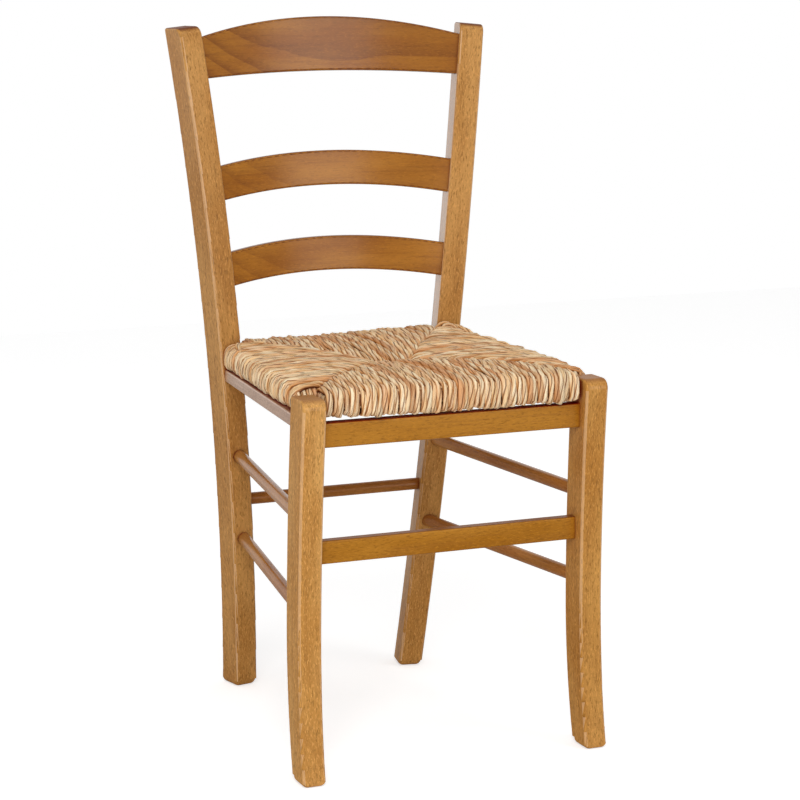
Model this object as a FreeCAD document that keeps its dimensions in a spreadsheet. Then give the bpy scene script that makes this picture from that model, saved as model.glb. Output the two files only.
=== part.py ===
"""Ladderback dining chair with a woven rush seat, in millimetres.

Z is up, the floor is Z = 0 and the chair faces -Y. The origin lies on the floor in the middle of
the chair. Rear posts are sawn from plank along one arc, toed in and leaned outwards; front legs
are sabre shaped. Rails, slats and stretchers are tenoned or bored into the legs, and the rush seat
is a separate frame that is screwed down through the side aprons.
"""
import FreeCAD
import Part
import Sketcher
import math
import os

Vector = FreeCAD.Vector
UP = Vector(0, 0, 1)
LEFT = -1
RIGHT = 1
SIDES = {"left": LEFT, "right": RIGHT}

# Driving dimensions, in millimetres; angles are in degrees.
DRIVING = (
    ("post_width", 32.0, "rear post, across"),
    ("post_depth", 39.3, "rear post, front to back"),
    ("post_height", 880.0, "floor to the middle of the post top"),
    ("post_bow", 34.6, "forward bow of the post over its whole length"),
    ("post_top_forward", 12.4, "post top ahead of its foot"),
    ("post_splay", 79.8, "post top further out than its foot"),
    ("post_toe_in", 12.0, "posts turned in, so that curved slats meet them square"),
    ("rear_foot_x", 124.9, "middle of a rear foot from the centre plane"),
    ("rear_foot_y", 211.0, "middle of a rear foot behind the origin"),
    ("leg_width", 29.6, "front leg, across"),
    ("leg_rise", 21.5, "front leg above the aprons that carry the seat"),
    ("leg_draw_in", 4.8, "front leg top further in than its foot"),
    ("leg_waist_height", 190.0, "height of the waist of the sabre curve"),
    ("leg_waist_depth", 42.0, "front leg depth at the waist"),
    ("leg_foot_depth", 37.0, "front leg depth at the floor"),
    ("leg_top_depth", 43.5, "front leg depth at the top"),
    ("leg_foot_flare", 19.0, "foot ahead of the waist"),
    ("leg_top_flare", 14.5, "leg top ahead of the waist"),
    ("front_foot_x", 188.0, "middle of a front foot from the centre plane"),
    ("front_waist_y", 214.5, "front face of the waist ahead of the origin"),
    ("arris_round", 3.0, "rounding of the long corners of legs and posts"),
    ("top_round", 12.0, "rounding of the front edge of a leg or post top"),
    ("foot_round", 8.0, "rounding round the underside of a foot"),
    ("foot_round_inset", 0.7, "the foot rounding starts this far outside the faces"),
    ("slat_thickness", 11.8, "back slats"),
    ("slat_bow", 25.0, "backward bow of a slat between the posts"),
    ("slat_setback", 7.7, "slat face behind the post face"),
    ("slat_round", 2.5, "rounding of the long edges of a slat"),
    ("slat_tenon", 15.0, "slat tenon length"),
    ("top_slat_height", 53.3, "top slat at its ends"),
    ("top_slat_drop", 11.8, "top slat at its ends below the post tops"),
    ("top_slat_crest", 26.1, "rise of its upper edge"),
    ("top_slat_arch", 9.4, "rise of its lower edge"),
    ("middle_slat_height", 44.9, "middle slat at its ends"),
    ("middle_slat_low", 659.7, "underside of the middle slat at its ends"),
    ("middle_slat_arch", 15.1, "rise of both its edges"),
    ("lower_slat_height", 44.7, "lower slat at its ends"),
    ("lower_slat_low", 549.0, "underside of the lower slat at its ends"),
    ("lower_slat_arch", 12.6, "rise of both its edges"),
    ("apron_top", 443.8, "top of the side and rear aprons, which carry the seat"),
    ("front_apron_drop", 9.8, "open gap between the front apron and the rush"),
    ("front_apron_height", 29.3, "front apron"),
    ("front_apron_thickness", 18.0, "front apron"),
    ("front_apron_setback", 14.7, "front apron behind the leg faces"),
    ("side_apron_height", 15.8, "side and rear aprons"),
    ("side_apron_thickness", 22.0, "side and rear aprons"),
    ("side_apron_inset_rear", 3.0, "side apron inside the outer face of the post"),
    ("side_apron_inset_front", 1.5, "side apron inside the outer face of the leg"),
    ("front_stretcher_low", 262.7, "underside of the flat front stretcher"),
    ("front_stretcher_height", 28.1, "flat front stretcher"),
    ("front_stretcher_thickness", 15.0, "flat front stretcher"),
    ("front_stretcher_setback", 16.6, "flat stretcher behind the leg faces"),
    ("rail_round", 2.0, "rounding of the long edges of aprons and the flat stretcher"),
    ("rail_tenon", 15.0, "tenons of the front apron, flat stretcher and rear apron"),
    ("side_tenon", 11.0, "tenons of the side aprons"),
    ("tenon_shoulder", 3.5, "shoulder round a tenon"),
    ("tenon_web", 1.5, "wood left in a post between two tenons"),
    ("stretcher_diameter", 16.5, "round side stretchers"),
    ("rear_stretcher_diameter", 16.0, "round rear stretcher"),
    ("upper_stretcher_rear_z", 326.5, "axis of the upper side stretchers at the posts"),
    ("upper_stretcher_front_z", 319.0, "axis of the upper side stretchers at the legs"),
    ("lower_stretcher_rear_z", 213.0, "axis of the lower side stretchers at the posts"),
    ("lower_stretcher_front_z", 209.0, "axis of the lower side stretchers at the legs"),
    ("rear_stretcher_z", 262.0, "axis of the rear stretcher"),
    ("bore_depth", 17.0, "how far a round stretcher enters a leg"),
    ("joint_clearance", 0.15, "play round a tenon or a round stretcher end"),
    ("tenon_end_gap", 0.5, "room past the end of a tenon"),
    ("rush_front_setback", 10.0, "front face of the rush behind the tops of the front legs"),
    ("rush_rear_reach", 35.0, "rush reaches back past the front faces of the rear posts"),
    ("rush_side_inset", 2.0, "sides of the rush inside the outer faces of the side aprons"),
    ("seat_seam_half", 24.0, "half of the middle seam"),
    ("seat_seam_ahead", 4.5, "middle seam ahead of the middle of the seat"),
    ("rush_thickness", 6.0, "one layer of rush cord"),
    ("rush_round", 13.0, "rounding of the rush over the rails"),
    ("rush_crown", 4.0, "stuffed crown above the rush on the rails"),
    ("rush_crown_share", 0.38, "where the crown lies between the outer edge, 0, and the seam, 1"),
    ("rush_seam_drop", 4.0, "middle seam below the rush on the rails"),
    ("rush_under_rise", 7.0, "rise of the underside towards the middle seam"),
    ("seat_rail_width", 20.0, "seat frame rails, across"),
    ("seat_rail_height", 19.0, "seat frame rails"),
    ("seat_corner_block", 24.0, "arm width of the seat frame corner blocks"),
    ("leg_side_gap", 9.0, "rush clear of the inner face of a front leg"),
    ("leg_back_gap", 6.0, "rush clear of the back face of a front leg"),
    ("post_side_gap", 4.0, "rush clear of the inner face of a rear post"),
    ("post_front_gap", 4.0, "rush clear of the front face of a rear post"),
    ("notch_round", 6.0, "rounding of the rush corners in plan"),
    ("stuffing_gap", 10.0, "stuffing pads short of the rails and the seams"),
    ("stuffing_clear", 3.0, "stuffing pads clear of the rush above and below"),
    ("screw_diameter", 4.0, "seat screws"),
    ("screw_cover", 7.0, "rail left above the point of a seat screw"),
    ("screw_head_diameter", 8.0, "seat screw heads"),
    ("screw_from_leg", 62.0, "front seat screws behind the front legs"),
    ("screw_from_post", 62.0, "rear seat screws ahead of the rear posts"),
)

document = FreeCAD.newDocument("ladderback_chair")
sheet = document.addObject("Spreadsheet::Sheet", "sizes")


class Size:
    """A length with its value and the sheet expression that it is bound by."""

    def __init__(self, value, text):
        self.value = value
        self.text = text

    def _join(self, other, sign, value):
        right = other.text if isinstance(other, Size) else repr(other)
        return Size(value, "(" + self.text + " " + sign + " " + right + ")")

    def __add__(self, other):
        return self._join(other, "+", self.value + number(other))

    def __sub__(self, other):
        return self._join(other, "-", self.value - number(other))

    def __mul__(self, other):
        return self._join(other, "*", self.value * number(other))

    def __truediv__(self, other):
        return self._join(other, "/", self.value / number(other))

    def __neg__(self):
        return Size(-self.value, "(-" + self.text + ")")


def number(value):
    """The plain number of a Size or of a number."""
    return value.value if isinstance(value, Size) else float(value)


def fill_sheet():
    """Writes the driving dimensions to the sheet and returns them by name."""
    named = {}
    for row, (name, value, meaning) in enumerate(DRIVING, 1):
        sheet.set("A%d" % row, name)
        sheet.set("B%d" % row, str(value))
        sheet.set("C%d" % row, meaning)
        sheet.setAlias("B%d" % row, name)
        named[name] = Size(value, "sizes." + name)
    document.recompute()
    return named


class Dimensions:
    """The driving dimensions as attributes."""

    def __init__(self, named):
        self.__dict__.update(named)


dim = Dimensions(fill_sheet())
LEG_HEIGHT = dim.apron_top + dim.leg_rise
TOP_SLAT_LOW = dim.post_height - dim.top_slat_drop - dim.top_slat_height
SIDE_APRON_LOW = dim.apron_top - dim.side_apron_height
FRONT_APRON_LOW = dim.apron_top - dim.front_apron_drop - dim.front_apron_height
REAR_APRON_SETBACK = dim.side_tenon - dim.tenon_shoulder + dim.tenon_web
RAIL_LOW = dim.apron_top + dim.rush_thickness
RAIL_TOP = RAIL_LOW + dim.seat_rail_height
RUSH_TOP = RAIL_TOP + dim.rush_thickness
SCREW_LENGTH = RAIL_TOP - dim.screw_cover - SIDE_APRON_LOW
QUARTER_SAG = 1 - math.sqrt(0.5)


def bind(item, prop, size):
    """Sets a property from a Size, and binds it to the sheet."""
    setattr(item, prop, number(size))
    if isinstance(size, Size):
        item.setExpression(prop, size.text)


# Sketches and bodies

class Outline:
    """A closed sketch outline made of lines and arcs, each point held by two dimensions."""

    def __init__(self, sketch, start):
        self.sketch = sketch
        self.start = start
        self.here = start
        self.first_edge = None
        self.last_edge = None

    def _pin(self, geometry, position, point):
        for kind, size in zip(("DistanceX", "DistanceY"), point):
            self._dimension(kind, geometry, position, size)

    def _dimension(self, kind, geometry, position, size):
        value = number(size)
        index = self.sketch.addConstraint(Sketcher.Constraint(kind, -1, 1, geometry, position, value))
        if isinstance(size, Size):
            self.sketch.setExpression("Constraints[%d]" % index, size.text)

    def _follow(self, edge, end_position, end, closing):
        start_position = 3 - end_position
        if self.last_edge is None:
            self._pin(edge, start_position, self.here)
            self.first_edge = (edge, start_position)
        else:
            link = Sketcher.Constraint("Coincident", *self.last_edge, edge, start_position)
            self.sketch.addConstraint(link)
        if closing:
            link = Sketcher.Constraint("Coincident", *self.first_edge, edge, end_position)
            self.sketch.addConstraint(link)
        else:
            self._pin(edge, end_position, end)
        self.last_edge = (edge, end_position)
        self.here = end

    def line(self, end=None):
        """Draws a line to end, or back to the start."""
        closing = end is None
        end = self.start if closing else end
        edge = self.sketch.addGeometry(Part.LineSegment(flat(self.here), flat(end)))
        self._follow(edge, 2, end, closing)

    def _add_arc(self, middle, end):
        """Adds the arc so that it runs anticlockwise, and says which of its ends is the far one."""
        first = flat(self.here)
        last = flat(end)
        anticlockwise = (middle - first).cross(last - middle).z > 0
        ends = (first, last) if anticlockwise else (last, first)
        edge = self.sketch.addGeometry(Part.Arc(ends[0], middle, ends[1]))
        return edge, 2 if anticlockwise else 1

    def arc(self, middle, end=None):
        """Draws an arc through middle to end, or back to the start."""
        closing = end is None
        end = self.start if closing else end
        edge, end_position = self._add_arc(flat(middle), end)
        self._follow(edge, end_position, end, closing)
        point = self.sketch.addGeometry(Part.Point(flat(middle)), True)
        self.sketch.addConstraint(Sketcher.Constraint("PointOnObject", point, 1, edge))
        self._pin(point, 1, middle)

    def arc_upright_at(self, height, end, closing=False):
        """Draws an arc to end that stands upright at a height, where one of its ends lies."""
        first = flat(self.here)
        last = flat(end)
        level, far = (first, last) if abs(first.y - number(height)) < 1e-6 else (last, first)
        across = far.x - level.x
        rise = far.y - level.y
        radius = (across ** 2 + rise ** 2) / (2 * across)
        centre = Vector(level.x + radius, level.y, 0)
        towards = (first + last) * 0.5 - centre
        middle = centre + towards * (abs(radius) / towards.Length)
        edge, end_position = self._add_arc(middle, end)
        self._follow(edge, end_position, end, closing)
        self._dimension("DistanceY", edge, 3, height)


def flat(point):
    """A sketch point as a vector."""
    return Vector(number(point[0]), number(point[1]), 0)


def origin_plane(body, role):
    """A body's own origin plane by its role."""
    return [item for item in body.Origin.OriginFeatures if item.Role == role][0]


def new_sketch(body, name, role):
    """An empty sketch on one of the body's own origin planes."""
    sketch = body.newObject("Sketcher::SketchObject", name)
    sketch.AttachmentSupport = [(origin_plane(body, role), "")]
    sketch.MapMode = "FlatFace"
    return sketch


def pad(body, name, sketch, length):
    """Pads a sketch to both sides."""
    feature = body.newObject("PartDesign::Pad", name)
    feature.Profile = sketch
    feature.SideType = "Symmetric"
    bind(feature, "Length", length)
    document.recompute()
    return feature


def pocket_through(body, name, sketch):
    """Cuts a sketch through the body both ways, and checks that it cut."""
    before = body.Shape.Volume
    feature = body.newObject("PartDesign::Pocket", name)
    feature.Profile = sketch
    feature.Type = "ThroughAll"
    feature.SideType = "Symmetric"
    document.recompute()
    if not body.Shape.Volume < before - 1e-3:
        raise ValueError(name + " cut nothing")
    return feature


def fillet(body, name, radius, wanted):
    """Rounds the edges of the body's tip that wanted accepts."""
    tip = body.Tip
    names = ["Edge%d" % index for index, edge in enumerate(tip.Shape.Edges, 1) if wanted(edge.BoundBox)]
    if not names:
        raise ValueError(name + " found no edge")
    feature = body.newObject("PartDesign::Fillet", name)
    feature.Base = (tip, names)
    bind(feature, "Radius", radius)
    document.recompute()
    return feature


# Booleans between sub-parts

def box(name, placement, length, width, height, centre=(0.0, 0.0, 0.0)):
    """A box about a placement: centre gives its middle in the placement's own axes."""
    item = document.addObject("Part::Box", name)
    for prop, size in (("Length", length), ("Width", width), ("Height", height)):
        bind(item, prop, size)
    corner = Vector(centre[0] - number(length) / 2, centre[1] - number(width) / 2,
                    centre[2] - number(height) / 2)
    item.Placement = placement.multiply(FreeCAD.Placement(corner, FreeCAD.Rotation()))
    return item


def rod(name, start, end, diameter, start_extra=0.0, end_extra=0.0):
    """A cylinder between two points, made longer at each end by the extra lengths."""
    direction = (end - start).normalize()
    item = document.addObject("Part::Cylinder", name)
    bind(item, "Radius", diameter / 2)
    item.Height = (end - start).Length + start_extra + end_extra
    item.Placement = FreeCAD.Placement(start - direction * start_extra, FreeCAD.Rotation(UP, direction))
    return item


def cut(name, base, tools):
    """Cuts the tools from the base."""
    tool = tools[0]
    if len(tools) > 1:
        tool = document.addObject("Part::MultiFuse", name + "_tools")
        tool.Shapes = tools
    item = document.addObject("Part::Cut", name)
    item.Base = base
    item.Tool = tool
    return item


def fuse(name, pieces):
    """Joins pieces that make one solid, or groups separate solids in one node."""
    item = document.addObject("Part::MultiFuse", name)
    item.Shapes = pieces
    return item


# Legs and posts

class Stick:
    """A leg or post on one side: its blank before mortising and the mortises cut in it."""

    def __init__(self, label, side, blank, placement):
        self.label = label
        self.side = side
        self.blank = blank
        self.placement = placement
        self.mortises = []

    def world(self, outwards, y, z):
        """A point of the leg's own frame in the chair's frame."""
        point = self.placement.multVec(Vector(outwards, y, z))
        return Vector(self.side * point.x, point.y, point.z)

    def finish(self):
        """Cuts the mortises; the result is the node."""
        return cut(self.label, self.blank, self.mortises)


def stick_pair(label, body, foot_x, foot_y, toe_in, lean, foot_size, foot_middle):
    """Places a right-hand leg, toed in and leaned outwards, and mirrors it for the left."""
    turn = FreeCAD.Rotation(UP, -toe_in)
    tilt = FreeCAD.Rotation(Vector(0, 1, 0), lean)
    placement = FreeCAD.Placement(Vector(foot_x, foot_y, 0), turn.multiply(tilt))
    body.Placement = placement
    centre = placement.multVec(Vector(0, foot_middle, 0))
    shaved = cut(label + "_right_blank", body, [foot_shaver(label, centre, turn, foot_size)])
    mirrored = document.addObject("Part::Mirroring", label + "_left_blank")
    mirrored.Source = shaved
    mirrored.Normal = Vector(1, 0, 0)
    return {"left": Stick(label + "_left", LEFT, mirrored, placement),
            "right": Stick(label + "_right", RIGHT, shaved, placement)}


def foot_shaver(label, centre, turn, foot_size):
    """What is cut away to level a foot on the floor and round its underside."""
    radius = dim.foot_round
    place = FreeCAD.Placement(centre, turn)
    sizes = [size + dim.foot_round_inset * 2 for size in foot_size]
    form = box(label + "_foot_form", place, *sizes, radius * 3, (0.0, 0.0, radius.value * 1.5))
    document.recompute()
    kept = document.addObject("Part::Fillet", label + "_foot_rounded")
    kept.Base = form
    low = form.Shape.BoundBox.ZMin
    kept.Edges = [(index, radius.value, radius.value) for index, edge in enumerate(form.Shape.Edges, 1)
                  if edge.BoundBox.ZMin < low + radius.value / 4]
    reach = foot_size[1] * 3
    slab = box(label + "_foot_slab", place, reach, reach, radius * 3, (0.0, 0.0, -radius.value / 2))
    return cut(label + "_foot_waste", slab, [kept])


def round_stick(body, top_z, front_top_y):
    """Rounds the front of the top and then every long corner."""
    top = number(top_z)

    def is_front_top(bounds):
        """The edge across the front of the top."""
        return bounds.ZMin > top - 1 and bounds.YMax < number(front_top_y) + 1

    def is_long_or_top(bounds):
        """The long corners and the edges left at the top."""
        return bounds.ZLength > top / 4 or bounds.ZMin > top - 0.5

    fillet(body, body.Name + "_front_top", dim.top_round, is_front_top)
    fillet(body, body.Name + "_arrises", dim.arris_round, is_long_or_top)


def make_rear_posts(label):
    """The rear posts: one arc down the plank, toed in and leaned out."""
    height = dim.post_height
    splay = dim.post_splay
    length = Size(math.hypot(height.value, splay.value),
                  "sqrt(%s * %s + %s * %s)" % (height.text, height.text, splay.text, splay.text))
    allowance = dim.foot_round
    half = dim.post_depth / 2
    top_y = -dim.post_top_forward
    middle_y = top_y / 2 - dim.post_bow
    body = document.addObject("PartDesign::Body", label + "_blank")
    sketch = new_sketch(body, label + "_side", "YZ_Plane")
    outline = Outline(sketch, (-half, -allowance))
    outline.line((half, -allowance))
    outline.arc((middle_y + half, length / 2), (top_y + half, length))
    outline.line((top_y - half, length))
    outline.arc((middle_y - half, length / 2))
    document.recompute()
    pad(body, label + "_plank", sketch, dim.post_width)
    round_stick(body, length, top_y - half)
    lean = math.degrees(math.atan2(splay.value, height.value))
    return stick_pair(label, body, dim.rear_foot_x.value, dim.rear_foot_y.value,
                      dim.post_toe_in.value, lean, (dim.post_width, dim.post_depth), 0.0)


def make_front_legs(label):
    """The front legs, sawn to a sabre curve with its waist below the flat stretcher."""
    height = LEG_HEIGHT
    draw = dim.leg_draw_in
    allowance = dim.foot_round
    waist = dim.leg_waist_height
    foot_front = -dim.leg_foot_flare
    top_front = -dim.leg_top_flare
    foot_back = foot_front + dim.leg_foot_depth
    top_back = top_front + dim.leg_top_depth
    body = document.addObject("PartDesign::Body", label + "_blank")
    sketch = new_sketch(body, label + "_side", "YZ_Plane")
    outline = Outline(sketch, (foot_front, -allowance))
    outline.line((foot_back, -allowance))
    outline.arc_upright_at(waist, (dim.leg_waist_depth, waist))
    outline.arc_upright_at(waist, (top_back, height))
    outline.line((top_front, height))
    outline.arc_upright_at(waist, (dim.leg_waist_depth * 0, waist))
    outline.arc_upright_at(waist, outline.start, closing=True)
    document.recompute()
    pad(body, label + "_plank", sketch, dim.leg_width)
    round_stick(body, height, top_front)
    lean = -math.degrees(math.atan2(draw.value, height.value))
    foot_middle = dim.leg_foot_depth.value / 2 - dim.leg_foot_flare.value
    return stick_pair(label, body, dim.front_foot_x.value, -dim.front_waist_y.value, 0.0, lean,
                      (dim.leg_width, dim.leg_foot_depth), foot_middle)


def post_centre_y(local_z):
    """Middle of a post, front to back, at a height along it, in the post's own frame."""
    length = math.hypot(dim.post_height.value, dim.post_splay.value)
    share = local_z / length
    return -dim.post_top_forward.value * share - 4 * dim.post_bow.value * share * (1 - share)


def post_point(post, outwards, from_front, height):
    """A point of a post at a height above the floor: outwards is from its middle."""
    lean = math.atan2(dim.post_splay.value, dim.post_height.value)
    along = height / math.cos(lean) + outwards * math.tan(lean)
    face_y = post_centre_y(along) - dim.post_depth.value / 2
    return post.world(outwards, face_y + from_front, along)


def leg_face_y(height, back):
    """World Y of the front or back face of a front leg at a height."""
    waist = dim.leg_waist_height.value
    foot = -dim.leg_foot_flare.value
    top = -dim.leg_top_flare.value
    level = 0.0
    if back:
        foot += dim.leg_foot_depth.value
        top += dim.leg_top_depth.value
        level = dim.leg_waist_depth.value
    far, reach = (top, LEG_HEIGHT.value - waist) if height > waist else (foot, waist)
    across = far - level
    radius = (across ** 2 + reach ** 2) / (2 * across)
    bulge = math.copysign(abs(radius) - math.sqrt(radius ** 2 - (height - waist) ** 2), across)
    return -dim.front_waist_y.value + level + bulge


def leg_x(height, across):
    """World X of a front leg at a height: across is outwards from its middle."""
    return dim.front_foot_x.value - dim.leg_draw_in.value * height / LEG_HEIGHT.value + across


# Back slats

def make_slat(label, posts, low, height, crest, arch):
    """A slat sawn to its arched outline and bowed backwards, with a tenon at each end."""
    half_post = dim.post_width.value / 2
    middle_z = low.value + height.value / 2
    post = posts["right"]
    inner = post_point(post, -half_post, dim.slat_setback.value, middle_z)
    above = post_point(post, -half_post, dim.slat_setback.value, middle_z + height.value / 2)
    below = post_point(post, -half_post, dim.slat_setback.value, middle_z - height.value / 2)
    tilt = math.degrees(math.atan2(above.y - below.y, above.z - below.z))
    reach = inner.x + half_post * 0.9
    growth = (reach / inner.x) ** 2
    bow = dim.slat_bow * growth
    frame = FreeCAD.Placement(Vector(0, inner.y, middle_z), FreeCAD.Rotation(Vector(1, 0, 0), -tilt))
    shift = FreeCAD.Placement(Vector(0, dim.slat_bow.value - bow.value, 0), FreeCAD.Rotation())
    body = document.addObject("PartDesign::Body", label + "_blank")

    elevation = new_sketch(body, label + "_front_view", "XZ_Plane")
    end_top = height / 2 - crest * (growth - 1)
    end_low = -height / 2 - arch * (growth - 1)
    outline = Outline(elevation, (-reach, end_low))
    outline.arc((0.0, arch - height / 2), (reach, end_low))
    outline.line((reach, end_top))
    outline.arc((0.0, crest + height / 2), (-reach, end_top))
    outline.line()
    document.recompute()
    pad(body, label + "_board", elevation, (bow + dim.slat_thickness) * 2.2)

    plan = new_sketch(body, label + "_plan", "XY_Plane")
    clear = bow + dim.slat_thickness * 2
    margin = reach + dim.slat_thickness.value
    outer = Outline(plan, (-margin, -clear))
    for corner in ((margin, -clear), (margin, clear), (-margin, clear)):
        outer.line(corner)
    outer.line()
    band = Outline(plan, (-reach, 0.0))
    band.arc((0.0, bow), (reach, 0.0))
    band.line((reach, dim.slat_thickness))
    band.arc((0.0, bow + dim.slat_thickness), (-reach, dim.slat_thickness))
    band.line()
    document.recompute()
    pocket_through(body, label + "_bowing", plan)
    fillet(body, label + "_edges", dim.slat_round, lambda bounds: bounds.XLength > reach)
    body.Placement = frame.multiply(shift)

    shouldered = cut(label + "_shouldered", body, [stick.blank for stick in posts.values()])
    pieces = [shouldered]
    lead = dim.slat_thickness.value
    angle = math.degrees(math.atan2(2 * dim.slat_bow.value, inner.x))
    gap = dim.joint_clearance * 2
    for name, side in SIDES.items():
        at_end = FreeCAD.Placement(Vector(side * inner.x, 0, 0), FreeCAD.Rotation(UP, -side * angle))
        place = frame.multiply(at_end)
        size = (dim.slat_tenon + lead, dim.slat_thickness - dim.tenon_shoulder,
                height - dim.tenon_shoulder * 3)
        centre = (side * (dim.slat_tenon.value - lead) / 2, dim.slat_thickness.value / 2, 0.0)
        pieces.append(box(label + "_tenon_" + name, place, *size, centre))
        hole = (size[0] + dim.tenon_end_gap, size[1] + gap, size[2] + gap)
        centre = (centre[0] + side * dim.tenon_end_gap.value / 2, centre[1], centre[2])
        posts[name].mortises.append(box(label + "_mortise_" + name, place, *hole, centre))
    return fuse(label, pieces)


# Straight rails

def rounded_bar(name, length, width, height, along):
    """A straight bar with rounded long edges, centred on its own origin."""
    body = document.addObject("PartDesign::Body", name)
    sketch = new_sketch(body, name + "_section", "YZ_Plane" if along == "X" else "XZ_Plane")
    outline = Outline(sketch, (-(width / 2), -(height / 2)))
    outline.line((width / 2, -(height / 2)))
    outline.line((width / 2, height / 2))
    outline.line((-(width / 2), height / 2))
    outline.line()
    document.recompute()
    pad(body, name + "_bar", sketch, length)

    def is_long(bounds):
        """Edges that run the bar's whole length."""
        return (bounds.XLength if along == "X" else bounds.YLength) > number(length) * 0.9

    fillet(body, name + "_edges", dim.rail_round, is_long)
    return body


def cross_rail(label, sticks, half_span, middle, width, height, tenon):
    """A rail across the chair, shouldered between two legs and tenoned into them."""
    lead = tenon.value
    bar = rounded_bar(label + "_blank", (half_span + lead / 2) * 2, width, height, "X")
    place = FreeCAD.Placement(middle, FreeCAD.Rotation())
    bar.Placement = place
    pieces = [cut(label + "_shouldered", bar, [stick.blank for stick in sticks.values()])]
    gap = dim.joint_clearance * 2
    for name, side in SIDES.items():
        size = (tenon + lead, width - dim.tenon_shoulder * 2, height - dim.tenon_shoulder * 2)
        centre = (side * (half_span + (tenon.value - lead) / 2), 0.0, 0.0)
        pieces.append(box(label + "_tenon_" + name, place, *size, centre))
        hole = (size[0] + dim.tenon_end_gap, size[1] + gap, size[2] + gap)
        centre = (centre[0] + side * dim.tenon_end_gap.value / 2, 0.0, 0.0)
        sticks[name].mortises.append(box(label + "_mortise_" + name, place, *hole, centre))
    return fuse(label, pieces)


def make_front_rail(label, legs, low, height, thickness, setback):
    """The front apron or the flat stretcher, set back from the leg faces."""
    middle_z = low.value + height.value / 2
    face_y = leg_face_y(middle_z, False) + setback.value
    half_span = leg_x(middle_z, -dim.leg_width.value / 2)
    middle = Vector(0, face_y + thickness.value / 2, middle_z)
    return cross_rail(label, legs, half_span, middle, thickness, height, dim.rail_tenon)


def make_rear_apron(label, posts):
    """The rear apron, between the posts and out of sight under the seat."""
    middle_z = SIDE_APRON_LOW.value + dim.side_apron_height.value / 2
    from_front = REAR_APRON_SETBACK.value + dim.side_apron_thickness.value / 2
    inner = post_point(posts["right"], -dim.post_width.value / 2, from_front, middle_z)
    middle = Vector(0, inner.y, middle_z)
    return cross_rail(label, posts, inner.x, middle, dim.side_apron_thickness,
                      dim.side_apron_height, dim.rail_tenon)


def side_apron_line(posts, side):
    """The outer face of a side apron: its rear point, its front point, at mid height."""
    middle_z = SIDE_APRON_LOW.value + dim.side_apron_height.value / 2
    post = posts["right"]
    rear = post_point(post, dim.post_width.value / 2, 0.0, middle_z)
    rear = rear + Vector(-dim.side_apron_inset_rear.value, 0, 0)
    front_x = leg_x(middle_z, dim.leg_width.value / 2) - dim.side_apron_inset_front.value
    front = Vector(front_x, leg_face_y(middle_z, True), middle_z)
    return (Vector(side * rear.x, rear.y, rear.z), Vector(side * front.x, front.y, front.z))


def make_side_apron(label, name, posts, legs, screw_holes):
    """A side apron from the leg's back face to the post's front face, drilled for the seat."""
    side = SIDES[name]
    rear, front = side_apron_line(posts, side)
    run = rear - front
    angle = -math.degrees(math.atan2(run.x, run.y))
    turn = FreeCAD.Rotation(UP, angle)
    inward = turn.multVec(Vector(-side, 0, 0))
    width = dim.side_apron_thickness
    height = dim.side_apron_height
    middle = (rear + front) * 0.5 + inward * (width.value / 2)
    place = FreeCAD.Placement(middle, turn)
    lead = dim.side_tenon.value
    bar = rounded_bar(label + "_blank", run.Length + lead, width, height, "Y")
    bar.Placement = place
    pieces = [cut(label + "_shouldered", bar, [posts[name].blank, legs[name].blank])]
    gap = dim.joint_clearance * 2
    for stick, towards in ((posts[name], 1), (legs[name], -1)):
        size = (width - dim.tenon_shoulder * 3, dim.side_tenon + lead, height - dim.tenon_shoulder * 2)
        centre = (0.0, towards * (run.Length / 2 + (dim.side_tenon.value - lead) / 2), 0.0)
        pieces.append(box(label + "_tenon_" + stick.label, place, *size, centre))
        hole = (size[0] + gap, size[1] + dim.tenon_end_gap, size[2] + gap)
        centre = (0.0, centre[1] + towards * dim.tenon_end_gap.value / 2, 0.0)
        stick.mortises.append(box(label + "_mortise_" + stick.label, place, *hole, centre))
    whole = fuse(label + "_whole", pieces)
    return cut(label, whole, screw_holes)


# Round stretchers

def bore_for(name, stick, start, end, diameter):
    """Bores a leg for a round stretcher end that reaches from start to end inside it."""
    stick.mortises.append(rod(name, start, end, diameter + dim.joint_clearance * 2,
                              0.0, dim.tenon_end_gap.value))


def make_round(label, first, last, first_point, last_point, diameter):
    """A round stretcher that enters two legs, whose faces it meets at the two points."""
    depth = dim.bore_depth.value
    direction = (last_point - first_point).normalize()
    middle = (first_point + last_point) * 0.5
    bore_for(label + "_bore_a", first, middle, first_point - direction * depth, diameter)
    bore_for(label + "_bore_b", last, middle, last_point + direction * depth, diameter)
    return rod(label, first_point, last_point, diameter, depth, depth)


def make_side_stretcher(label, name, posts, legs, rear_z, front_z):
    """A round stretcher from a post's front face to a leg's back face."""
    side = SIDES[name]
    rear = post_point(posts[name], 0.0, 0.0, rear_z.value)
    front = Vector(side * leg_x(front_z.value, 0.0), leg_face_y(front_z.value, True), front_z.value)
    return make_round(label, posts[name], legs[name], rear, front, dim.stretcher_diameter)


def make_rear_stretcher(label, posts):
    """The round stretcher between the rear posts."""
    half_post = dim.post_width.value / 2
    middle_depth = dim.post_depth.value / 2
    ends = [post_point(posts[name], -half_post, middle_depth, dim.rear_stretcher_z.value)
            for name in SIDES]
    return make_round(label, posts["left"], posts["right"], *ends, dim.rear_stretcher_diameter)


# Rush seat

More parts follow.
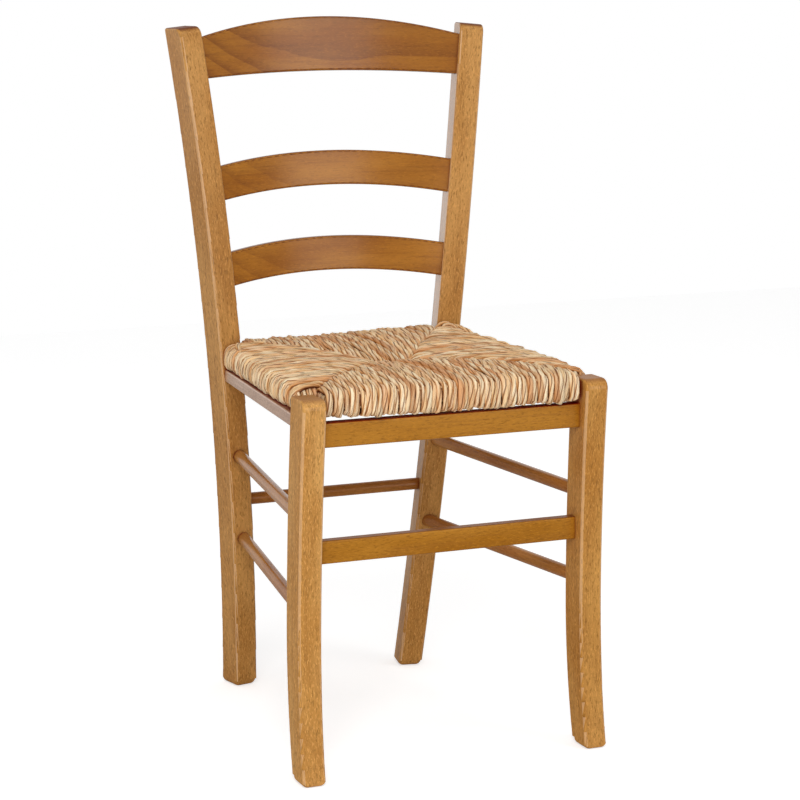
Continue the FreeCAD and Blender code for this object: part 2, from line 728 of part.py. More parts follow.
class SeatPlan:
    """The outline of the seat in plan, fitted to the aprons, legs and posts round it."""

    def __init__(self, posts):
        level = dim.apron_top.value
        half_post = dim.post_width.value / 2
        corner = post_point(posts["right"], half_post, 0.0, level)
        inner = post_point(posts["right"], -half_post, 0.0, level)
        self.front_y = leg_face_y(LEG_HEIGHT.value, False) + dim.rush_front_setback.value
        self.rear_y = corner.y + dim.rush_rear_reach.value
        self.apron = side_apron_line(posts, RIGHT)
        self.front_notch_x = leg_x(level, -dim.leg_width.value / 2) - dim.leg_side_gap.value
        self.front_notch_y = leg_face_y(LEG_HEIGHT.value, True) + dim.leg_back_gap.value
        self.rear_notch_x = inner.x - dim.post_side_gap.value
        self.rear_notch_y = corner.y - dim.post_front_gap.value
        self.seam_y = (self.front_y + self.rear_y) / 2 - dim.seat_seam_ahead.value

    def side_x(self, y):
        """Half width of the rush at a world Y."""
        rear, front = self.apron
        share = (y - front.y) / (rear.y - front.y)
        return front.x + (rear.x - front.x) * share - dim.rush_side_inset.value


def prism(points, low, high):
    """An upright prism on a plan polygon."""
    base = [Vector(x, y, low) for x, y in points]
    return Part.Face(Part.makePolygon(base + base[:1])).extrude(Vector(0, 0, high - low))


def shape_node(label, shape):
    """A document object that holds a worked-out shape."""
    item = document.addObject("Part::Feature", label)
    item.Shape = shape
    return item


def seat_rails(plan):
    """The four rails of the seat frame."""
    wide = dim.seat_rail_width
    tall = dim.seat_rail_height
    level = (RAIL_LOW.value + RAIL_TOP.value) / 2
    skin = dim.rush_thickness.value
    rails = {}
    for label, y, half in (
            ("seat_front_rail", plan.front_y + skin + wide.value / 2, plan.front_notch_x - skin),
            ("seat_rear_rail", plan.rear_y - skin - wide.value / 2, plan.rear_notch_x - skin)):
        bar = rounded_bar(label, half * 2, wide, tall, "X")
        bar.Placement = FreeCAD.Placement(Vector(0, y, level), FreeCAD.Rotation())
        rails[label] = bar
    front_end = plan.front_notch_y + skin
    rear_end = plan.rear_notch_y - skin
    lean = math.atan2(plan.side_x(front_end) - plan.side_x(rear_end), rear_end - front_end)
    for name, side in SIDES.items():
        label = "seat_%s_rail" % name
        length = (rear_end - front_end) / math.cos(lean) - wide.value * math.tan(lean)
        bar = rounded_bar(label + "_blank", length, wide, tall, "Y")
        middle_y = (front_end + rear_end) / 2
        x = plan.side_x(middle_y) - (skin + wide.value / 2) / math.cos(lean)
        turn = FreeCAD.Rotation(UP, side * math.degrees(lean))
        bar.Placement = FreeCAD.Placement(Vector(side * x, middle_y, level), turn)
        rails[label] = bar
    return rails


def seat_blocks(plan, rails):
    """The four cranked corner blocks that join the rails clear of the legs and posts."""
    skin = dim.rush_thickness.value
    wide = dim.seat_rail_width.value
    arm = dim.seat_corner_block.value
    blocks = {}
    for end, notch_x, notch_y, seat_y, towards in (
            ("front", plan.front_notch_x, plan.front_notch_y, plan.front_y, 1),
            ("rear", plan.rear_notch_x, plan.rear_notch_y, plan.rear_y, -1)):
        edge_x = notch_x - skin
        edge_y = notch_y + towards * skin
        rail_y = seat_y + towards * (skin + wide)
        arm_y = edge_y + towards * arm
        outer_x = plan.side_x(edge_y)
        outline = [(edge_x, rail_y), (edge_x - arm, rail_y), (edge_x - arm, arm_y),
                   (outer_x, arm_y), (outer_x, edge_y), (edge_x, edge_y)]
        for name, side in SIDES.items():
            label = "seat_%s_%s_block" % (end, name)
            solid = prism([(side * x, y) for x, y in outline], RAIL_LOW.value, RAIL_TOP.value)
            keep_off = rail_side_space(rails["seat_%s_rail" % name], side)
            blocks[label] = shape_node(label, solid.cut(keep_off))
    return blocks


def rail_side_space(rail, side):
    """Everything outside the inner face of a side rail, for cutting a block to meet it."""
    wide = dim.seat_rail_width.value
    reach = wide * 20
    space = Part.makeBox(reach, reach * 2, reach, Vector(0, -reach, -reach / 2))
    if side == LEFT:
        space.translate(Vector(-reach + wide / 2, 0, 0))
    else:
        space.translate(Vector(-wide / 2, 0, 0))
    space.Placement = rail.Placement.multiply(space.Placement)
    return space


def seat_panels(plan):
    """The four panels in plan: outer edge ends, then the matching ends on the middle seam."""
    wide = plan.side_x(plan.front_y)
    narrow = plan.side_x(plan.rear_y)
    seam = dim.seat_seam_half.value
    front_left = Vector(-wide, plan.front_y, 0)
    front_right = Vector(wide, plan.front_y, 0)
    rear_left = Vector(-narrow, plan.rear_y, 0)
    rear_right = Vector(narrow, plan.rear_y, 0)
    seam_left = Vector(-seam, plan.seam_y, 0)
    seam_right = Vector(seam, plan.seam_y, 0)
    return ((front_left, front_right, seam_right, seam_left),
            (front_right, rear_right, seam_right, seam_right),
            (rear_right, rear_left, seam_left, seam_right),
            (rear_left, front_left, seam_left, seam_left))


def panel_section(deep):
    """The section of the front panel, from its outer edge at 0 to the middle seam at deep."""
    low = dim.apron_top.value
    top = RUSH_TOP.value
    bend = dim.rush_round.value
    flank = (low + top) / 2
    half = flank - low
    crest_at = dim.rush_crown_share.value * deep
    edge = Vector(0, 0, flank)
    upper_bend = Vector(bend, 0, top)
    lower_bend = Vector(bend, 0, low)
    upper_mid = Vector(bend * QUARTER_SAG, 0, top - half * QUARTER_SAG)
    lower_mid = Vector(bend * QUARTER_SAG, 0, low + half * QUARTER_SAG)
    crest = Vector(crest_at, 0, top + dim.rush_crown.value)
    flat_to = Vector(crest_at, 0, low)
    seam_top = Vector(deep, 0, top - dim.rush_seam_drop.value)
    seam_low = Vector(deep, 0, low + dim.rush_under_rise.value)
    edges = [Part.Arc(edge, upper_mid, upper_bend).toShape(),
             Part.Arc(upper_bend, crest, seam_top).toShape(),
             Part.LineSegment(seam_top, seam_low).toShape(),
             Part.LineSegment(seam_low, flat_to).toShape(),
             Part.LineSegment(flat_to, lower_bend).toShape(),
             Part.Arc(lower_bend, lower_mid, edge).toShape()]
    return Part.Wire(edges)


def panel_solid(corners, front_deep):
    """One mitred panel: the front section, stretched to its depth, swept and cut along the seams."""
    start, end, inner_end, inner_start = corners
    along = (end - start).normalize()
    inward = UP.cross(along)
    deep = (inner_start - start).dot(inward)
    stretched = inward * (deep / front_deep)
    to_panel = FreeCAD.Matrix(stretched.x, along.x, 0, start.x, stretched.y, along.y, 0, start.y,
                              0, 0, 1, 0, 0, 0, 0, 1)
    section = panel_section(front_deep).transformGeometry(to_panel)
    solid = Part.Face(section).extrude(end - start)
    outline = [start, end, inner_end] + ([inner_start] if inner_start != inner_end else [])
    wedge = prism([(point.x, point.y) for point in outline], dim.apron_top.value - deep,
                  RUSH_TOP.value + deep)
    return solid.common(wedge)


def notch_boxes(plan):
    """The corners of the seat that the legs and posts take, as upright prisms."""
    far_x = plan.side_x(plan.front_y) * 2
    low = -RUSH_TOP.value
    high = RUSH_TOP.value * 2
    boxes = []
    for notch_x, notch_y, far_y in ((plan.front_notch_x, plan.front_notch_y, plan.front_y * 2),
                                    (plan.rear_notch_x, plan.rear_notch_y, plan.rear_y * 2)):
        outline = [(notch_x, notch_y), (far_x, notch_y), (far_x, far_y), (notch_x, far_y)]
        for side in SIDES.values():
            boxes.append(prism([(side * x, y) for x, y in outline], low, high))
    return boxes


def seat_envelope(plan):
    """The outer form of the woven seat: crowned panels that fall to the seams, notched corners."""
    front_deep = plan.seam_y - plan.front_y
    solids = [panel_solid(corners, front_deep) for corners in seat_panels(plan)]
    whole = solids[0].multiFuse(solids[1:]).cut(notch_boxes(plan))
    whole = whole.removeSplitter()
    reach = RUSH_TOP.value - dim.apron_top.value
    upright = [edge for edge in whole.Edges
               if edge.BoundBox.ZLength > reach / 2 and abs(edge.tangentAt(edge.FirstParameter).z) > 0.999
               and abs(edge.BoundBox.XMin) > dim.seat_seam_half.value * 2]
    return whole.makeFillet(dim.notch_round.value, upright)


def stuffing_solids(plan, blocks):
    """Four pads of packing between the two layers of rush."""
    inset = dim.rush_thickness.value + dim.seat_rail_width.value
    low = RAIL_LOW.value + dim.stuffing_clear.value
    tall = dim.seat_rail_height.value - dim.stuffing_clear.value * 2
    solids = []
    for start, end, inner_end, inner_start in seat_panels(plan):
        along = (end - start).normalize()
        share = inset / (inner_start - start).dot(UP.cross(along))
        points = [start + (inner_start - start) * share, end + (inner_end - end) * share, inner_end]
        if inner_start != inner_end:
            points.append(inner_start)
        face = Part.Face(Part.makePolygon(points + points[:1]))
        face = face.makeOffset2D(-dim.stuffing_gap.value, 2)
        face.translate(Vector(0, 0, low))
        packing = face.extrude(Vector(0, 0, tall))
        packing = packing.cut([block.Shape for block in blocks.values()])
        solids.append(max(packing.Solids, key=lambda solid: solid.Volume))
    return solids


# Seat screws

def screw_places(posts):
    """Feet of the four seat screws, on the middle line of the side aprons."""
    places = []
    for name, side in SIDES.items():
        rear, front = side_apron_line(posts, side)
        along = (rear - front).normalize()
        inward = Vector(-side * dim.side_apron_thickness.value / 2, 0, 0)
        for point in (front + along * dim.screw_from_leg.value,
                      rear - along * dim.screw_from_post.value):
            foot = point + inward
            places.append((name, Vector(foot.x, foot.y, SIDE_APRON_LOW.value)))
    return places


def screw_form(name, foot, extra):
    """A countersunk screw that points up from its foot, grown all round by extra."""
    radius = dim.screw_diameter / 2 + extra
    head_radius = dim.screw_head_diameter / 2 + extra
    head = document.addObject("Part::Cone", name + "_head")
    bind(head, "Radius1", head_radius)
    bind(head, "Radius2", radius)
    bind(head, "Height", (dim.screw_head_diameter - dim.screw_diameter) / 2)
    head.Placement = FreeCAD.Placement(foot, FreeCAD.Rotation())
    shank = document.addObject("Part::Cylinder", name + "_shank")
    bind(shank, "Radius", radius)
    bind(shank, "Height", SCREW_LENGTH + extra)
    shank.Placement = FreeCAD.Placement(foot, FreeCAD.Rotation())
    return fuse(name, [head, shank])


# The chair

posts = make_rear_posts("rear_post")
legs = make_front_legs("front_leg")
nodes = []

for label, low, height, crest, arch in (
        ("top_slat", TOP_SLAT_LOW, dim.top_slat_height, dim.top_slat_crest, dim.top_slat_arch),
        ("middle_slat", dim.middle_slat_low, dim.middle_slat_height, dim.middle_slat_arch,
         dim.middle_slat_arch),
        ("lower_slat", dim.lower_slat_low, dim.lower_slat_height, dim.lower_slat_arch,
         dim.lower_slat_arch)):
    nodes.append(make_slat(label, posts, low, height, crest, arch))

nodes.append(make_front_rail("front_apron", legs, FRONT_APRON_LOW, dim.front_apron_height,
                             dim.front_apron_thickness, dim.front_apron_setback))
nodes.append(make_front_rail("front_stretcher", legs, dim.front_stretcher_low,
                             dim.front_stretcher_height, dim.front_stretcher_thickness,
                             dim.front_stretcher_setback))
nodes.append(make_rear_apron("rear_apron", posts))

screws = []
screw_holes = {name: [] for name in SIDES}
for index, (name, foot) in enumerate(screw_places(posts), 1):
    screws.append(screw_form("seat_screw_%d" % index, foot, 0.0))
    hole = screw_form("screw_hole_%d" % index, foot, dim.joint_clearance)
    screw_holes[name].append(hole)
all_holes = screw_holes["left"] + screw_holes["right"]

for name in SIDES:
    nodes.append(make_side_apron(name + "_apron", name, posts, legs, screw_holes[name]))
    nodes.append(make_side_stretcher(name + "_upper_stretcher", name, posts, legs,
                                     dim.upper_stretcher_rear_z, dim.upper_stretcher_front_z))
    nodes.append(make_side_stretcher(name + "_lower_stretcher", name, posts, legs,
                                     dim.lower_stretcher_rear_z, dim.lower_stretcher_front_z))
nodes.append(make_rear_stretcher("rear_stretcher", posts))
nodes.extend(stick.finish() for stick in list(posts.values()) + list(legs.values()))
document.recompute()

plan = SeatPlan(posts)
rails = seat_rails(plan)
blocks = seat_blocks(plan, rails)
pads = stuffing_solids(plan, blocks)
nodes.append(shape_node("seat_stuffing", Part.makeCompound(pads)))
core = [item.Shape for item in list(rails.values()) + list(blocks.values())] + pads
hole_shapes = [hole.Shape for hole in all_holes]
nodes.append(shape_node("rush_seat", seat_envelope(plan).cut(core + hole_shapes)))
for name in SIDES:
    label = "seat_%s_rail" % name
    nodes.append(cut(label, rails[label], screw_holes[name]))
nodes.extend([rails["seat_front_rail"], rails["seat_rear_rail"]])
nodes.extend(blocks.values())
nodes.append(fuse("seat_screws", screws))
document.recompute()

# Check every object, then write each sub-part

for item in document.Objects:
    if "Invalid" in item.State or "Error" in item.State:
        raise ValueError(item.Label + " failed: " + ", ".join(item.State))

os.makedirs("parts", exist_ok=True)
for node in nodes:
    shape = node.Shape
    if shape.isNull() or not shape.isValid() or not shape.Solids:
        raise ValueError(node.Label + " has no valid shape")
    shape.exportStep("parts/%s.step" % node.Label)
    print(node.Label, len(shape.Solids), "solids", round(shape.Volume), "mm3")
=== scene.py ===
"""A ladderback chair with a woven rush seat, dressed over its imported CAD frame.

Metres throughout, Z up, the chair faces -Y and stands on Z = 0. The joinery keeps the shapes of the
CAD nodes and gets stained beech; the rush seat is rebuilt strand by strand.
"""
from __future__ import annotations

import logging
import math
from collections.abc import Iterable, Sequence
from dataclasses import dataclass, field, replace
from enum import Enum

import bmesh
import bpy
import numpy as np
from mathutils import Matrix, Vector


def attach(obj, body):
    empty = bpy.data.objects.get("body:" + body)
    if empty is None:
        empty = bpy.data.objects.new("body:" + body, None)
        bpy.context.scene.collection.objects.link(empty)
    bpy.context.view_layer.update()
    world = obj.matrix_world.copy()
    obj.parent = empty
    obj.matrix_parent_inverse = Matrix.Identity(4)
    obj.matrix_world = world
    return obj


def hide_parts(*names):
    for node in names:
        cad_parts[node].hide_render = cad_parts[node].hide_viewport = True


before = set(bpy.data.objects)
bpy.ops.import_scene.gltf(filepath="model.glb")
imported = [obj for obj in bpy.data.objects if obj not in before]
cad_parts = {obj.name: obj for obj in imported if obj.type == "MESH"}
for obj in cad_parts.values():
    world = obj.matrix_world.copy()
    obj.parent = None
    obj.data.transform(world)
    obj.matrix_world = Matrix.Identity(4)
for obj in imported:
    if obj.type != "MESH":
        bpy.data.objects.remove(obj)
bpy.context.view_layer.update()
LOG = logging.getLogger("ladderback_chair")

Colour = tuple[float, float, float]
Point = tuple[float, float, float]
Socket = bpy.types.NodeSocket


def srgb(red: int, green: int, blue: int) -> Colour:
    """Turns a colour as the eye reads it into the linear values that a shader takes.

    Args:
        red: Red, 0 to 255.
        green: Green, 0 to 255.
        blue: Blue, 0 to 255.

    Returns:
        The linear red, green and blue, 0 to 1.
    """
    def linear(part: int) -> float:
        """Undoes the display curve for one channel."""
        share = part / 255
        return share / 12.92 if share <= 0.04045 else ((share + 0.055) / 1.055) ** 2.4

    return linear(red), linear(green), linear(blue)


class Nodes:
    """A node tree, with short ways to add and join its nodes."""

    def __init__(self, tree: bpy.types.NodeTree) -> None:
        """Takes a tree and empties it.

        Args:
            tree: The tree.
        """
        self.tree = tree
        self.tree.nodes.clear()

    def feed(self, socket: Socket, value: object) -> None:
        """Sets a socket to a constant or links an output to it.

        Args:
            socket: The input.
            value: A constant or an output; None leaves the socket as it is.
        """
        if isinstance(value, Socket):
            self.tree.links.new(value, socket)
        elif value is not None:
            if socket.type == "RGBA" and len(value) == 3:
                value = (*value, 1.0)
            socket.default_value = value

    def node(self, kind: str, *values: object, **settings: object) -> bpy.types.Node:
        """Adds a node.

        Args:
            kind: The node's type without its ShaderNode prefix.
            *values: What goes in its sockets, in order; None leaves one as it is.
            **settings: Properties of the node.

        Returns:
            The node.
        """
        made = self.tree.nodes.new("ShaderNode" + kind)
        for key, setting in settings.items():
            setattr(made, key, setting)
        for socket, value in zip(made.inputs, values):
            self.feed(socket, value)
        return made

    def maths(self, operation: str, *values: object) -> Socket:
        """Adds a Math node and returns its output."""
        return self.node("Math", *values, operation=operation).outputs[0]

    def times(self, first: object, second: object) -> Socket:
        """Multiplies two numbers."""
        return self.maths("MULTIPLY", first, second)

    def vector(self, operation: str, *values: object) -> Socket:
        """Adds a Vector Math node and returns its vector output."""
        return self.node("VectorMath", *values, operation=operation).outputs[0]


class Shader(Nodes):
    """A material's node tree, which ends in a Principled surface."""

    def __init__(self, name: str) -> None:
        """Starts a material.

        Args:
            name: The material's name.
        """
        self.material = bpy.data.materials.new(name)
        self.material.use_nodes = True
        super().__init__(self.material.node_tree)
        self.surface = self.node("BsdfPrincipled")
        self.node("OutputMaterial", self.surface.outputs[0])

    def mix(self, factor: object, first: object, second: object, blend: str = "MIX") -> Socket:
        """Mixes two colours.

        Args:
            factor: How much of the second, 0 to 1.
            first: A colour or an output.
            second: A colour or an output.
            blend: The blend type.

        Returns:
            The mixed colour.
        """
        made = self.tree.nodes.new("ShaderNodeMix")
        made.data_type = "RGBA"
        made.blend_type = blend
        for index, value in ((0, factor), (6, first), (7, second)):
            self.feed(made.inputs[index], value)
        return made.outputs[2]

    def spread(self, value: object, low: float, high: float, to_low: float = 0.0,
               to_high: float = 1.0) -> Socket:
        """Maps a range onto another one, smoothly and clamped.

        Args:
            value: The output to map.
            low: The value that becomes to_low.
            high: The value that becomes to_high.
            to_low: The result at low.
            to_high: The result at high.

        Returns:
            The mapped value.
        """
        made = self.node("MapRange", value, low, high, to_low, to_high,
                         interpolation_type="SMOOTHSTEP")
        return made.outputs[0]

    def noise(self, place: object, scale: float, detail: float = 3.0, rough: float = 0.55
              ) -> Socket:
        """Adds a noise texture.

        Args:
            place: The coordinates.
            scale: The scale.
            detail: The number of octaves.
            rough: The weight of the finer octaves.

        Returns:
            The noise, 0 to 1.
        """
        made = self.node("TexNoise", place, noise_dimensions="3D")
        for key, value in (("Scale", scale), ("Detail", detail), ("Roughness", rough)):
            made.inputs[key].default_value = value
        return made.outputs[0]

    def stretched(self, place: object, waves: Point, detail: float = 3.0, rough: float = 0.55
                  ) -> Socket:
        """Adds a noise texture with its own scale along each axis.

        Args:
            place: The coordinates.
            waves: The scale along x, y and z.
            detail: The number of octaves.
            rough: The weight of the finer octaves.

        Returns:
            The noise, 0 to 1.
        """
        return self.noise(self.vector("MULTIPLY", place, waves), 1.0, detail, rough)

    def attribute(self, name: str, part: str = "Vector") -> Socket:
        """Reads an attribute of the mesh."""
        return self.node("Attribute", attribute_name=name).outputs[part]

    def finish(self, **sockets: object) -> bpy.types.Material:
        """Fills the Principled sockets.

        Args:
            **sockets: Values or outputs by socket name, with _ for a space.

        Returns:
            The material.
        """
        for name, value in sockets.items():
            self.feed(self.surface.inputs[name.replace("_", " ")], value)
        return self.material

    def bump(self, height: object, depth: float, strength: float) -> Socket:
        """Adds a Bump node.

        Args:
            height: The height, 0 to 1.
            depth: What a height of 1 is, in metres.
            strength: How strongly it shows.

        Returns:
            The normal.
        """
        made = self.node("Bump")
        for key, value in (("Strength", strength), ("Distance", depth), ("Height", height)):
            self.feed(made.inputs[key], value)
        return made.outputs[0]


# Finishes

# Noise waves per metre along, across and through a board.
DRIFT_WAVES = (5.0, 30.0, 30.0)
CLOUD_WAVES = (6.0, 20.0, 20.0)
STREAK_WAVES = (8.0, 240.0, 240.0)
PORE_WAVES = (120.0, 520.0, 520.0)
RAY_WAVES = (190.0, 800.0, 640.0)

RING_WANDER = 0.012
WOOD_RELIEF = 0.00018
PORE_SHADE = 0.55
RAY_SHARE = 0.55
RAY_GLEAM = 1.45

# The first row darkens the joints where stain gathers; the second paints shade into recesses and
# under the seat.
# Stain and painted shade: reach in metres, openness where it is full and where it ends, share,
# colour.
STAIN_AND_SHADE_POOLS = ((0.0055, 0.3, 0.8, 0.8, srgb(82, 28, 12)),
               (0.045, 0.12, 0.5, 0.95, srgb(134, 24, 8)))


@dataclass(frozen=True)
class StainedBeech:
    """Beech under a honey stain and a satin lacquer, with painted highlights on its arrises and
    painted shade on upward faces and in recesses.
    """

    name: str
    light: Colour
    dark: Colour
    ring: Colour = srgb(132, 78, 28)
    fleck: float = 0.85
    figure: float = 0.14
    ring_gap: float = 0.009
    pith: tuple[float, float] = (0.012, 0.055)
    knee: tuple[float, float] = (0.0, 0.0)
    # Painted shade on the faces that look up; on the post and leg tops it also stands for the darker
    # end grain.
    upper_shade_share: float = 0.45
    upper_painted_shade: Colour = srgb(88, 48, 26)
    # Painted highlight along the arrises; on the slats a painted dark line of shade along the top
    # arris.
    arris: float = 0.35
    arris_painted_tone: Colour = srgb(226, 184, 130)
    lacquer: float = 0.18
    grazing_lacquer: float = 1.0

    def growth(self, shader: Shader, cut: Socket, grain: Socket) -> Socket:
        """Draws the late wood of the growth rings as the board's faces cut them.

        Args:
            shader: The material's tree.
            cut: The place in the piece, along, across and through it.
            grain: The same place in the board that it was cut from.

        Returns:
            How much late wood there is, 0 to 1.
        """
        along, across, deep = shader.node("SeparateXYZ", cut).outputs[:3]
        drift = shader.stretched(grain, DRIFT_WAVES, 2.0, 0.5)
        bend = shader.maths("MINIMUM", shader.maths("SUBTRACT", along, self.knee[1]), 0.0)
        bend = shader.times(shader.times(bend, bend), self.knee[0])
        away = shader.maths("SUBTRACT", shader.maths("SUBTRACT", across, bend), self.pith[0])
        behind = shader.maths("SUBTRACT", deep, self.pith[1])
        radius = shader.maths("SQRT", shader.maths("ADD", shader.times(away, away),
                                                   shader.times(behind, behind)))
        wander = shader.times(shader.maths("SUBTRACT", drift, 0.5), RING_WANDER)
        turns = shader.times(shader.maths("ADD", radius, wander), 1 / self.ring_gap)
        within = shader.maths("FRACT", turns)
        return shader.times(shader.spread(within, 0.35, 0.97),
                            shader.spread(within, 0.97, 1.0, 1.0, 0.0))

    def stain(self, shader: Shader, tone: Socket) -> tuple[Socket, Socket]:
        """Paints highlights along the arrises and shade on upward faces and in recesses, and darkens
        the joints where stain gathers.

        Args:
            shader: The material's tree.
            tone: The colour so far.

        Returns:
            The colour, and how open the place is, 0 to 1.
        """
        # Painted highlight along the arrises (on the slats, painted shade).
        arris = shader.times(shader.attribute("arris", "Fac"), self.arris)
        tone = shader.mix(arris, tone, self.arris_painted_tone)
        # Painted shade on the faces that look up, chosen by their normal.
        facing = shader.node("SeparateXYZ", shader.node("NewGeometry").outputs["Normal"]).outputs[2]
        upper = shader.spread(facing, 0.55, 0.95, 0.0, self.upper_shade_share)
        tone = shader.mix(upper, tone, self.upper_painted_shade)
        floor_up = shader.node("SeparateXYZ", shader.node("TexCoord").outputs["Object"]).outputs[2]
        off_floor = shader.spread(floor_up, 0.015, 0.06)
        # Darker joints from the short reach, painted shade in recesses and under the seat from the
        # long one.
        for reach, low, high, share, colour in STAIN_AND_SHADE_POOLS:
            near = shader.node("AmbientOcclusion", samples=6)
            near.inputs["Distance"].default_value = reach
            openness = near.outputs["AO"]
            stain_and_shade = shader.times(off_floor, shader.spread(openness, low, high, share, 0.0))
            tone = shader.mix(stain_and_shade, tone, colour)
        # Less lacquer near the floor and where the arris and upper tones are painted.
        bare = shader.spread(floor_up, 0.05, 0.5, 0.3, 1.0)
        for painted_mask in (arris, upper):
            bare = shader.times(bare, shader.maths("SUBTRACT", 1.0, painted_mask))
        return tone, shader.times(bare, shader.spread(openness, 0.15, 0.6))

    def material(self) -> bpy.types.Material:
        """Builds the material from growth rings, streaks, flecks, stain, and painted highlights and
        shade.

        Returns:
            The material.
        """
        shader = Shader(self.name)
        cut = shader.attribute("grain")
        board = shader.attribute("board", "Fac")
        grain = shader.vector("ADD", cut, shader.node("CombineXYZ", board, board, board).outputs[0])
        streak = shader.stretched(grain, STREAK_WAVES, 3.0, 0.6)
        cloud = shader.stretched(grain, CLOUD_WAVES, 2.0, 0.5)
        pores = shader.stretched(grain, PORE_WAVES, 3.0, 0.7)
        rays = shader.stretched(grain, RAY_WAVES, 2.0, 0.6)

        tone = shader.mix(shader.spread(cloud, 0.32, 0.68), self.light, self.dark)
        rings = shader.times(self.growth(shader, cut, grain), self.figure)
        tone = shader.mix(rings, tone, self.ring)
        lines = shader.times(shader.spread(streak, 0.48, 0.72), 0.3)
        tone = shader.mix(lines, tone, self.ring)
        specks = shader.times(shader.spread(pores, 0.5, 0.68), self.fleck)
        tone = shader.mix(specks, tone, tuple(part * PORE_SHADE for part in self.dark))
        bright = shader.times(shader.spread(rays, 0.52, 0.68), self.fleck * RAY_SHARE)
        tone = shader.mix(bright, tone, tuple(min(1.0, part * RAY_GLEAM) for part in self.light))
        tone, free = self.stain(shader, tone)

        grazing = shader.node("LayerWeight", 0.5).outputs["Facing"]
        gloss = shader.spread(grazing, 0.3, 0.75, self.lacquer, self.grazing_lacquer)
        rough = shader.spread(cloud, 0.3, 0.7, 0.4, 0.5)
        height = shader.maths("ADD", shader.times(pores, -0.6), shader.times(streak, 0.4))
        return shader.finish(Base_Color=tone, Roughness=rough, Specular_IOR_Level=0.04,
                             Coat_Weight=shader.times(gloss, free), Coat_Roughness=0.2, Coat_IOR=1.5,
                             Normal=shader.bump(height, WOOD_RELIEF, 0.5))


LEG_BEECH = StainedBeech("leg_beech", srgb(210, 158, 90), srgb(190, 134, 66), upper_shade_share=0.5,
                         upper_painted_shade=srgb(128, 78, 54), arris=0.38, arris_painted_tone=srgb(232, 192, 150),
                         lacquer=0.12, grazing_lacquer=0.3)
# A darker copy of the leg finish: painted shade on the right leg.
RIGHT_LEG_SHADED_BEECH = replace(LEG_BEECH, name="right_leg_shaded_beech", light=srgb(198, 144, 74),
                          dark=srgb(178, 120, 52))
POST_BEECH = StainedBeech("post_beech", srgb(194, 142, 78), srgb(174, 120, 58), pith=(-0.02, 0.07),
                          upper_shade_share=0.95, upper_painted_shade=srgb(104, 52, 26), arris=0.45,
                          arris_painted_tone=srgb(234, 196, 158), lacquer=0.14)
# The slats' dark arris tone is painted shade along their top front edge.
TOP_SLAT_BEECH = StainedBeech(
    "top_slat_beech", srgb(160, 102, 30), srgb(140, 80, 14), ring=srgb(100, 48, 10), fleck=0.4,
    figure=0.5, ring_gap=0.021, pith=(-0.004, 0.05), knee=(-1.8, 0.03), upper_shade_share=0.6,
    upper_painted_shade=srgb(92, 36, 18), arris=0.75, arris_painted_tone=srgb(92, 44, 26), lacquer=0.27)
SLAT_BEECH = replace(TOP_SLAT_BEECH, name="slat_beech", light=srgb(174, 114, 36),
                     dark=srgb(152, 92, 20), figure=0.25, ring_gap=0.016, lacquer=0.2)
# The dark red upper tone is painted shade on the apron tops under the seat.
RAIL_BEECH = StainedBeech("rail_beech", srgb(177, 119, 36), srgb(157, 99, 18), fleck=0.6,
                          upper_shade_share=0.9, upper_painted_shade=srgb(140, 22, 6), lacquer=0.1)
STRETCHER_BEECH = replace(RAIL_BEECH, name="stretcher_beech", upper_shade_share=0.6,
                          upper_painted_shade=srgb(104, 50, 26))
# A pinkish tone on the side aprons: a painted reflection of the pale surround.
SIDE_RAIL_SHEEN_BEECH = replace(RAIL_BEECH, name="side_rail_sheen_beech", light=srgb(204, 164, 134),
                          dark=srgb(184, 142, 112), upper_shade_share=0.4,
                          upper_painted_shade=srgb(104, 50, 26))
ROUND_BEECH = StainedBeech("turned_beech", srgb(180, 122, 60), srgb(156, 96, 40), fleck=0.4,
                           ring_gap=0.006, pith=(0.0, 0.02), upper_shade_share=0.0, arris=0.0)


@dataclass(frozen=True)
class DullFibre:
    """A dull finish of two tones, for the parts that lie under the rush."""

    name: str
    first: Colour
    second: Colour
    waves: Point
    rough: float
    relief: float
    strength: float

    def material(self) -> bpy.types.Material:
        """Builds the material.

        Returns:
            The material.
        """
        shader = Shader(self.name)
        fibre = shader.stretched(shader.node("TexCoord").outputs["Object"], self.waves)
        tone = shader.mix(shader.spread(fibre, 0.35, 0.65), self.first, self.second)
        return shader.finish(Base_Color=tone, Roughness=self.rough,
                             Normal=shader.bump(fibre, self.relief, self.strength))


BARE_WOOD = DullFibre("bare_wood", srgb(216, 184, 140), srgb(188, 150, 104), (60.0, 60.0, 300.0),
                      0.7, 0.0002, 0.4)
PACKED_STRAW = DullFibre("packed_straw", srgb(96, 46, 16), srgb(146, 90, 44),
                         (420.0, 90.0, 420.0), 0.85, 0.001, 0.6)


@dataclass(frozen=True)
class ZincSteel:
    """Bright zinc on the seat screws."""

    name: str = "zinc_steel"

    def material(self) -> bpy.types.Material:
        """Builds the material.

        Returns:
            The material.
        """
        shader = Shader(self.name)
        place = shader.node("TexCoord").outputs["Object"]
        patch = shader.noise(place, 900.0)
        tone = shader.mix(patch, srgb(186, 184, 178), srgb(214, 210, 196))
        return shader.finish(Base_Color=tone, Metallic=1.0,
                             Roughness=shader.spread(patch, 0.3, 0.7, 0.28, 0.42))


# Leaves that are twisted into one strand.
LEAVES = 3


